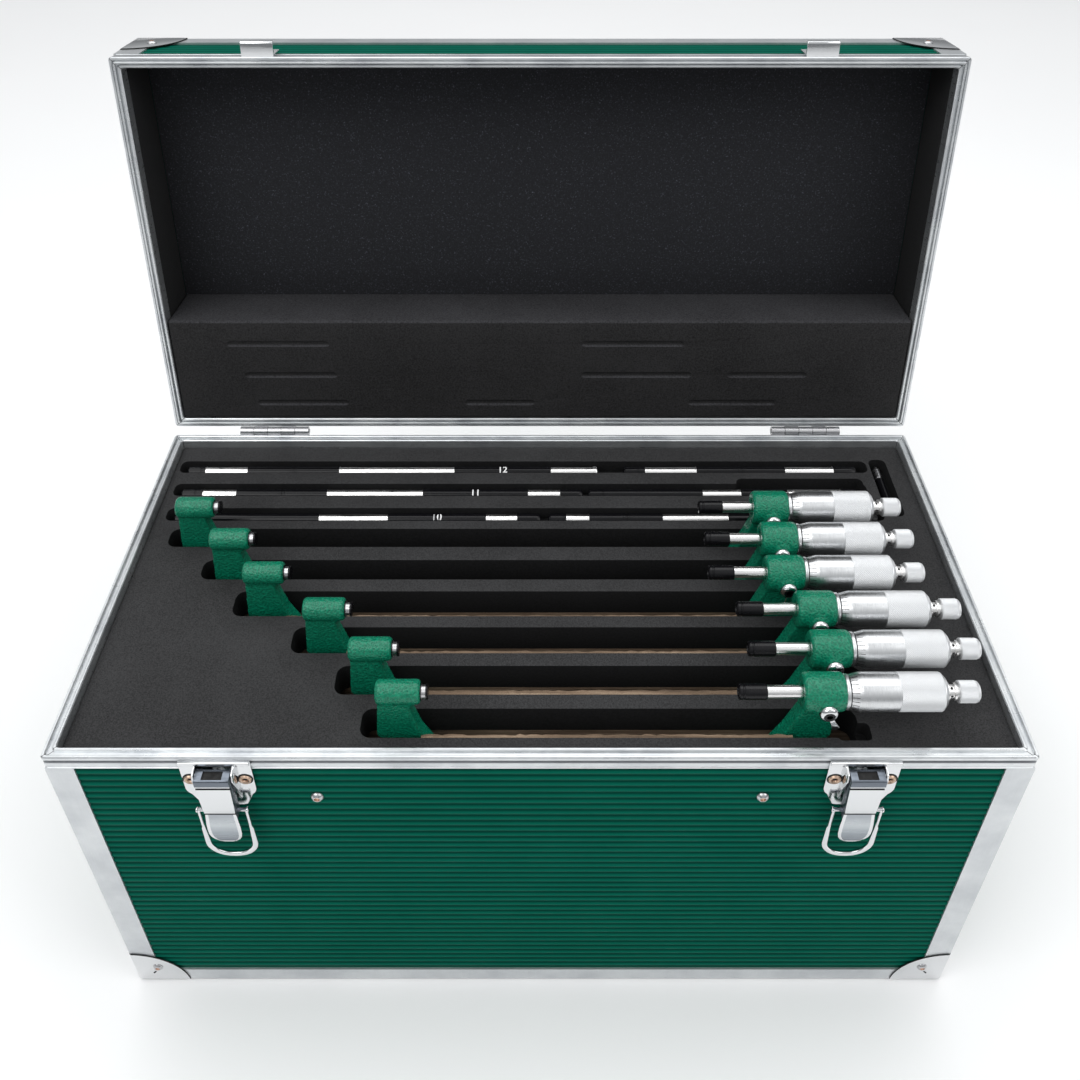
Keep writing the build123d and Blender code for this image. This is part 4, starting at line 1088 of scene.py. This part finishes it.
def bow_casting(n):
    """The bow spun from its section, with legs, both bosses and the lock's seat, melted into one casting."""
    middle, inner, outer = bow_circle(n)
    centre = (middle, mic_y[n], axis_z + bow_rise)
    start = math.asin((bow_rise + 50 * mm) / inner)
    inner_at_50 = inner * math.cos(start)
    outer_at_75 = math.sqrt(outer ** 2 - (bow_rise + 75 * mm) ** 2)
    rail, half_t = 3.5 * mm, 4.5 * mm
    section = [(inner, -half_t), (inner + rail, -half_t), (inner + rail + web_in, -half_t + web_in),
               (outer - rail - web_in, -half_t + web_in), (outer - rail, -half_t), (outer, -half_t)]
    section += [(r, -y) for r, y in reversed(section)]
    across, down = math.cos(start), math.sin(start)
    points = [(centre[0] - r * across, centre[1] + y, centre[2] - r * down) for r, y in section]
    bow = drawn(f"casting_{sizes[n]}", points, None)
    bpy.ops.mesh.spin(steps=56, angle=math.pi - 2 * start, center=centre, axis=(0, 1, 0))
    end(bow)
    parts = [bow]
    boss = [(0.0, 5.0), (0.8, 5.9), (1.6, 6.1), (20.4, 6.1), (21.2, 5.9), (22.0, 5.0)]
    parts.append(end(turned("anvil_boss", (bow_left[n], mic_y[n], axis_z), in_metres(boss), "X", 40)))
    head = [(0.0, 4.3), (0.0, 8.2), (0.7, 9.2), (2.0, 9.6), (18.5, 9.6), (19.8, 9.2), (20.5, 8.3),
            (20.5, 3.6), (9.6, 3.6), (9.6, 4.3)]
    head_at = (head_x[n], mic_y[n], axis_z)
    parts.append(end(turned("head_boss", head_at, in_metres(head), "X", 48, hollow=True)))
    left, right = bow_left[n], head_x[n]
    curve = [((k / 6) ** 1.25, (30 + 7.5 * k) * mm) for k in range(7)]
    slope = middle - outer_at_75 - left + 2 * mm
    outside = [(left + mm, 0)] + [(left - 1.5 * mm + slope * share, level) for share, level in curve]
    inside = [(middle - inner_at_50 + mm, 54 * mm), (middle - inner_at_50, 50 * mm)]
    bend = ((26.5, 40), (20.8, 28), (17.0, 13), (16.6, 8), (18.0, 5), (19.0, 0))
    inside += [(left + a * mm, b * mm) for a, b in bend]
    parts.append(leg("anvil_leg", n, outside + inside))
    slope = right + 18 * mm - middle - outer_at_75
    outside = [(right + 18 * mm, 0)] + [(right + 18 * mm - slope * share, level) for share, level in curve]
    inside = [(middle + inner_at_50 - mm, 54 * mm), (middle + inner_at_50, 50 * mm)]
    bend = ((-11.0, 40), (-5.2, 28), (-0.5, 14), (1.5, 8), (2.5, 0))
    inside += [(right + a * mm, b * mm) for a, b in bend]
    parts.append(leg("head_leg", n, outside + inside))
    seat_at = (head_x[n] + head_len / 2 + mm, mic_y[n] - 5 * mm, axis_z - lock_drop)
    seat = in_metres([(0.0, 5.2), (-4.9, 5.2), (-5.2, 4.6)])
    parts.append(end(turned("lock_seat", seat_at, seat, "Y", 32)))
    casting = one_piece(f"casting_{sizes[n]}", *parts)
    modify(casting, "REMESH", mode="VOXEL", voxel_size=0.8 * mm)
    modify(casting, "SMOOTH", factor=0.5, iterations=4)
    modify(casting, "DECIMATE", ratio=0.45)
    drill = in_metres([(-3.0, 4.4), (9.8, 4.4), (9.8, 3.6), (22.0, 3.6)])
    cut_away(casting, end(turned("drill", head_at, drill, "X", 48)))
    smooth(casting, 50)
    casting.data.materials.clear()
    casting.data.materials.append(hammered)
    return casting


for n, size in enumerate(sizes):
    body = f"frame_{size}"
    settle(bow_casting(n), body, "hammered_green", f"frame_{size}_inch")
    anvil_at = (bow_left[n] + boss_len - 0.8 * mm, mic_y[n], axis_z)
    profile = [(0.0, 4.2), (1.3, 4.2), (1.4, 3.4), (3.3, 3.4), (3.4, 3.8), (4.2, 3.8), (4.5, 3.5), (4.5, 0.3)]
    ring = end(turned("anvil", anvil_at, in_metres(profile), "X", 36), soft_black, steel)
    for face in ring.data.polygons:
        face.material_index = int(1.35 < (face.center.x - anvil_at[0]) / mm < 3.35)
    ring.name = f"anvil_{size}"
    settle(ring, body, "black_sleeve")
    barrel_at = (head_x[n] + head_len, mic_y[n], axis_z)
    collar = [(-0.4, 3.4), (-0.4, 8.2), (0.2, 8.6), (1.5, 8.6), (1.7, 7.9), (2.0, 7.4), (40.0, 7.4),
              (40.0, 3.4)]
    barrel = turned(f"barrel_{size}", barrel_at, in_metres(collar), "X", 48, hollow=True)
    settle(end(barrel, satin, ease=0.12 * mm), body, "satin_chrome")

# ---- Spindles ---------------------------------------------------------------------------------------
# Hardened steel spindles, ground bright, each with a soft black cap over its measuring end.
for n, size in enumerate(sizes):
    at = (mic_tip[n], mic_y[n], axis_z)
    shaft = end(turned("shaft", at, in_metres([(2.0, 3.2), (97.0, 3.2)]), "X", 40), ground_steel)
    shell = [(14.0, 3.2), (14.0, 3.6), (13.6, 3.95), (3.2, 3.95), (2.9, 3.7), (2.4, 3.7), (2.1, 3.95),
             (0.8, 3.9), (0.2, 3.4), (0.0, 2.6), (0.7, 2.2), (0.8, 0.4)]
    cap = end(turned("tip_cap", at, in_metres(shell), "X", 40), soft_black)
    spindle = one_piece(f"spindle_{size}_turned", shaft, cap)
    settle(spindle, f"spindle_{size}", "bright_steel", f"spindle_{size}_inch")

# ---- Thimbles ---------------------------------------------------------------------------------------
# Satin-chromed sleeves with 25 lines round the bevelled edge, a band of fine diamond knurling, a
# bright neck, and a knurled ratchet stop at the end.
knurl_white = new_finish("knurled_chrome", (0.74, 0.75, 0.76), 0.9, 0.5)
wire(knurl_white, Roughness=spread(knurl_white, grain(knurl_white, 1500.0), 0.42, 0.6))


def graduated(n):
    """Satin with the dark lines of the thimble's scale about one micrometer's axis."""
    line_count, line_long, line_half = 25, 3.4 * mm, 0.018
    finish = new_finish(f"graduated_{sizes[n]}", (0.68, 0.69, 0.70), 1.0, 0.3)
    start = head_x[n] + head_len + 2.2 * mm
    place = add_node(finish, "ShaderNodeSeparateXYZ", Vector=spot(finish, shift=(-start, -mic_y[n], -axis_z)))
    angle = work_out(finish, "ARCTAN2", place.outputs["Y"], place.outputs["Z"])
    off_line = work_out(finish, "PINGPONG", angle, math.pi / line_count)
    line = work_out(finish, "LESS_THAN", off_line, line_half)
    short = work_out(finish, "LESS_THAN", place.outputs["X"], line_long)
    mark = work_out(finish, "MULTIPLY", line, short)
    fine = grain(finish, 260.0, vector=spot(finish, (30, 1, 1)))
    metal = shades(finish, fine, ((0.3, (0.6, 0.61, 0.62)), (0.7, (0.76, 0.77, 0.78))))
    colour = add_node(finish, "ShaderNodeMix", data_type="RGBA", i0=mark, i6=metal, i7=(0.02, 0.02, 0.02, 1))
    return wire(finish, Base_Color=colour.outputs[2], Roughness=spread(finish, fine, 0.25, 0.4),
                Normal=relief(finish, fine, 0.015 * mm))


def knurl(piece, at, low, high, depth):
    """The faces between two distances cut into a net of small diamond points."""
    pick(piece, "FACE", lambda c: low < c.x - at[0] < high)
    bpy.ops.mesh.poke(offset=0.0)
    bpy.ops.mesh.tris_convert_to_quads(face_threshold=math.pi, shape_threshold=math.pi)
    pick(piece, "FACE", lambda c: low < c.x - at[0] < high)
    bpy.ops.mesh.poke(offset=depth)


def thimble(n):
    """Sleeve, neck and ratchet turned in one run, then knurled."""
    at = (head_x[n] + head_len + 2.2 * mm, mic_y[n], axis_z)
    knurl_low, knurl_high = 23.5, 44.4
    outline = [(42.0, 7.8), (0.0, 7.8), (0.0, 8.0), (0.25, 8.15), (5.0, 9.35), (5.3, 9.4), (22.9, 9.4),
               (23.1, 9.25), (knurl_low, 9.25)]
    outline += [(knurl_low + (knurl_high - knurl_low) * k / 22, 9.3) for k in range(1, 23)]
    outline += [(44.8, 9.2), (46.6, 7.3), (46.7, 4.2), (47.0, 4.2), (47.4, 4.6), (48.2, 4.6), (48.5, 3.5),
                (50.6, 3.5), (50.8, 4.4), (51.8, 4.4), (52.0, 3.4), (52.8, 3.4), (52.9, 4.9), (53.3, 5.25)]
    outline += [(53.3 + 8.2 * k / 9, 5.3) for k in range(1, 10)]
    outline += [(62.6, 5.0), (63.2, 4.2), (63.3, 3.2)]
    piece = turned(f"thimble_{sizes[n]}_turned", at, in_metres(outline), "X", 60)
    knurl(piece, at, knurl_low * mm, knurl_high * mm, 0.22 * mm)
    knurl(piece, at, 53.3 * mm, 61.5 * mm, 0.16 * mm)
    end(piece, graduated(n), knurl_white, ground_steel, flat=32)
    for face in piece.data.polygons:
        along = (face.center.x - at[0]) / mm
        knurled = knurl_low < along < knurl_high or along > 52.8
        face.material_index = 1 if knurled else 2 if along > 46.6 else 0
    holes = []
    # three small black discs in the neck as the holes' painted shadow
    for turn in (-0.9, 0.2, 1.3):
        hole_at = (at[0] + 49.5 * mm, at[1] - 3.3 * mm * math.sin(turn), at[2] + 3.3 * mm * math.cos(turn))
        hole = turned("neck_hole", hole_at, in_metres([(-0.3, 0.7), (0.3, 0.7)]), "Z", 14)
        holes.append(end(hole, painted_shadow_black))
    return one_piece(f"thimble_{sizes[n]}_turned", piece, *holes)


for n, size in enumerate(sizes):
    settle(thimble(n), f"thimble_{size}", "satin_chrome", f"thimble_{size}_inch")

# ---- Spindle locks ----------------------------------------------------------------------------------
# A chromed screw head with a hexagon socket whose inside is black painted shadow, and a short flared lever,
# on the front of each head.
lock_turn = (45, 45, 90, 50, 50, 65)
for n, size in enumerate(sizes):
    at = Vector((head_x[n] + head_len / 2 + mm, mic_y[n] + lock_y, axis_z - lock_drop))
    disc = [(0.0, 1.2), (0.0, 4.2), (-0.5, 4.6), (-1.5, 4.6), (-2.3, 4.2), (-2.9, 3.4), (-3.0, 2.8),
            (-2.6, 2.7)]
    disc = end(turned("lock_disc", at, in_metres(disc), "Y", 40), chrome)
    button = [(-2.5, 2.7), (-2.9, 2.7), (-3.2, 2.3), (-3.2, 1.5)]
    button = end(turned("lock_button", at, in_metres(button), "Y", 40, hollow=True), soft_black)
    # the socket's inside is a black hexagon of painted shadow
    dark = end(turned("lock_socket", at, in_metres([(-2.4, 1.6), (-2.6, 1.5)]), "Y", 6), painted_shadow_black)
    turn = -math.radians(lock_turn[n])
    reach = Vector((math.cos(turn), 0, math.sin(turn)))
    across = Vector((-reach.z, 0, reach.x))
    arm = [(3.2, 1.2), (6.5, 1.35), (10.6, 2.0), (11.5, 1.7), (11.8, 0.7)]
    outline = arm + [(a, -b) for a, b in reversed(arm)]
    points = [at + reach * (a * mm) + across * (b * mm) + Vector((0, -0.5 * mm, 0)) for a, b in outline]
    blade = end(drawn("lock_arm", points, (0, -1.9 * mm, 0)), chrome, ease=0.4 * mm, segments=3)
    lock = one_piece(f"lock_{size}_screw", disc, button, dark, blade)
    settle(lock, f"lock_{size}", "chrome_fittings", f"lock_lever_{size}_inch")

# ---- Stage -------------------------------------------------------------------------------------
# A pale floor, soft light from above and both sides, and the camera over the front edge.
bpy.ops.mesh.primitive_plane_add(size=12, location=(0, 0, -0.5 * mm))
floor = bpy.context.active_object
floor.name = "floor"
pale = new_finish("pale_floor", (0.92, 0.92, 0.92), 0.0, 0.6)
wire(pale, Roughness=spread(pale, grain(pale, 3.0), 0.55, 0.7))
floor.data.materials.append(pale)
floor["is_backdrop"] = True

world = bpy.data.worlds.new("studio")
bpy.context.scene.world = world
world.use_nodes = True
sky = world.node_tree.nodes["Background"]
direction = add_node(world, "ShaderNodeTexCoord")
height = add_node(world, "ShaderNodeSeparateXYZ", Vector=direction.outputs["Generated"])
sky_tones = shades(world, height.outputs["Z"], ((0.05, (0.30, 0.31, 0.32)), (0.75, (0.97, 0.985, 1.0))))
world.node_tree.links.new(sky_tones, sky.inputs["Color"])
sky.inputs["Strength"].default_value = 0.8
bpy.context.scene.view_settings.view_transform = "Standard"


def softbox(name, place, size, power):
    """A rectangular light that faces the middle of the case."""
    bpy.ops.object.light_add(type="AREA", location=place)
    lamp = bpy.context.active_object
    lamp.name = name
    lamp.data.shape = "RECTANGLE"
    lamp.data.size, lamp.data.size_y = size
    lamp.data.energy = power
    aim = Vector((0, 0, 0.2)) - Vector(place)
    lamp.rotation_euler = aim.to_track_quat("-Z", "Y").to_euler()


softbox("key_light", (-1.0, -0.9, 2.0), (1.6, 1.2), 16)
softbox("fill_light", (1.5, -0.7, 1.6), (1.2, 1.6), 10)
softbox("top_light", (0.0, 0.6, 2.3), (2.4, 1.4), 20)

picture_px = 1080.0
focal_px = 1083.2
optical_centre_px = 360.0
camera_at = (0, -0.4272, 0.6851)
view_down = math.radians(36.11)
bpy.ops.object.camera_add(location=camera_at, rotation=(math.pi / 2 - view_down, 0, 0))
camera = bpy.context.active_object
camera.data.sensor_width = 36.0
camera.data.lens = focal_px / picture_px * camera.data.sensor_width
camera.data.shift_y = (optical_centre_px - picture_px / 2) / picture_px
bpy.context.scene.camera = camera

low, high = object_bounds()
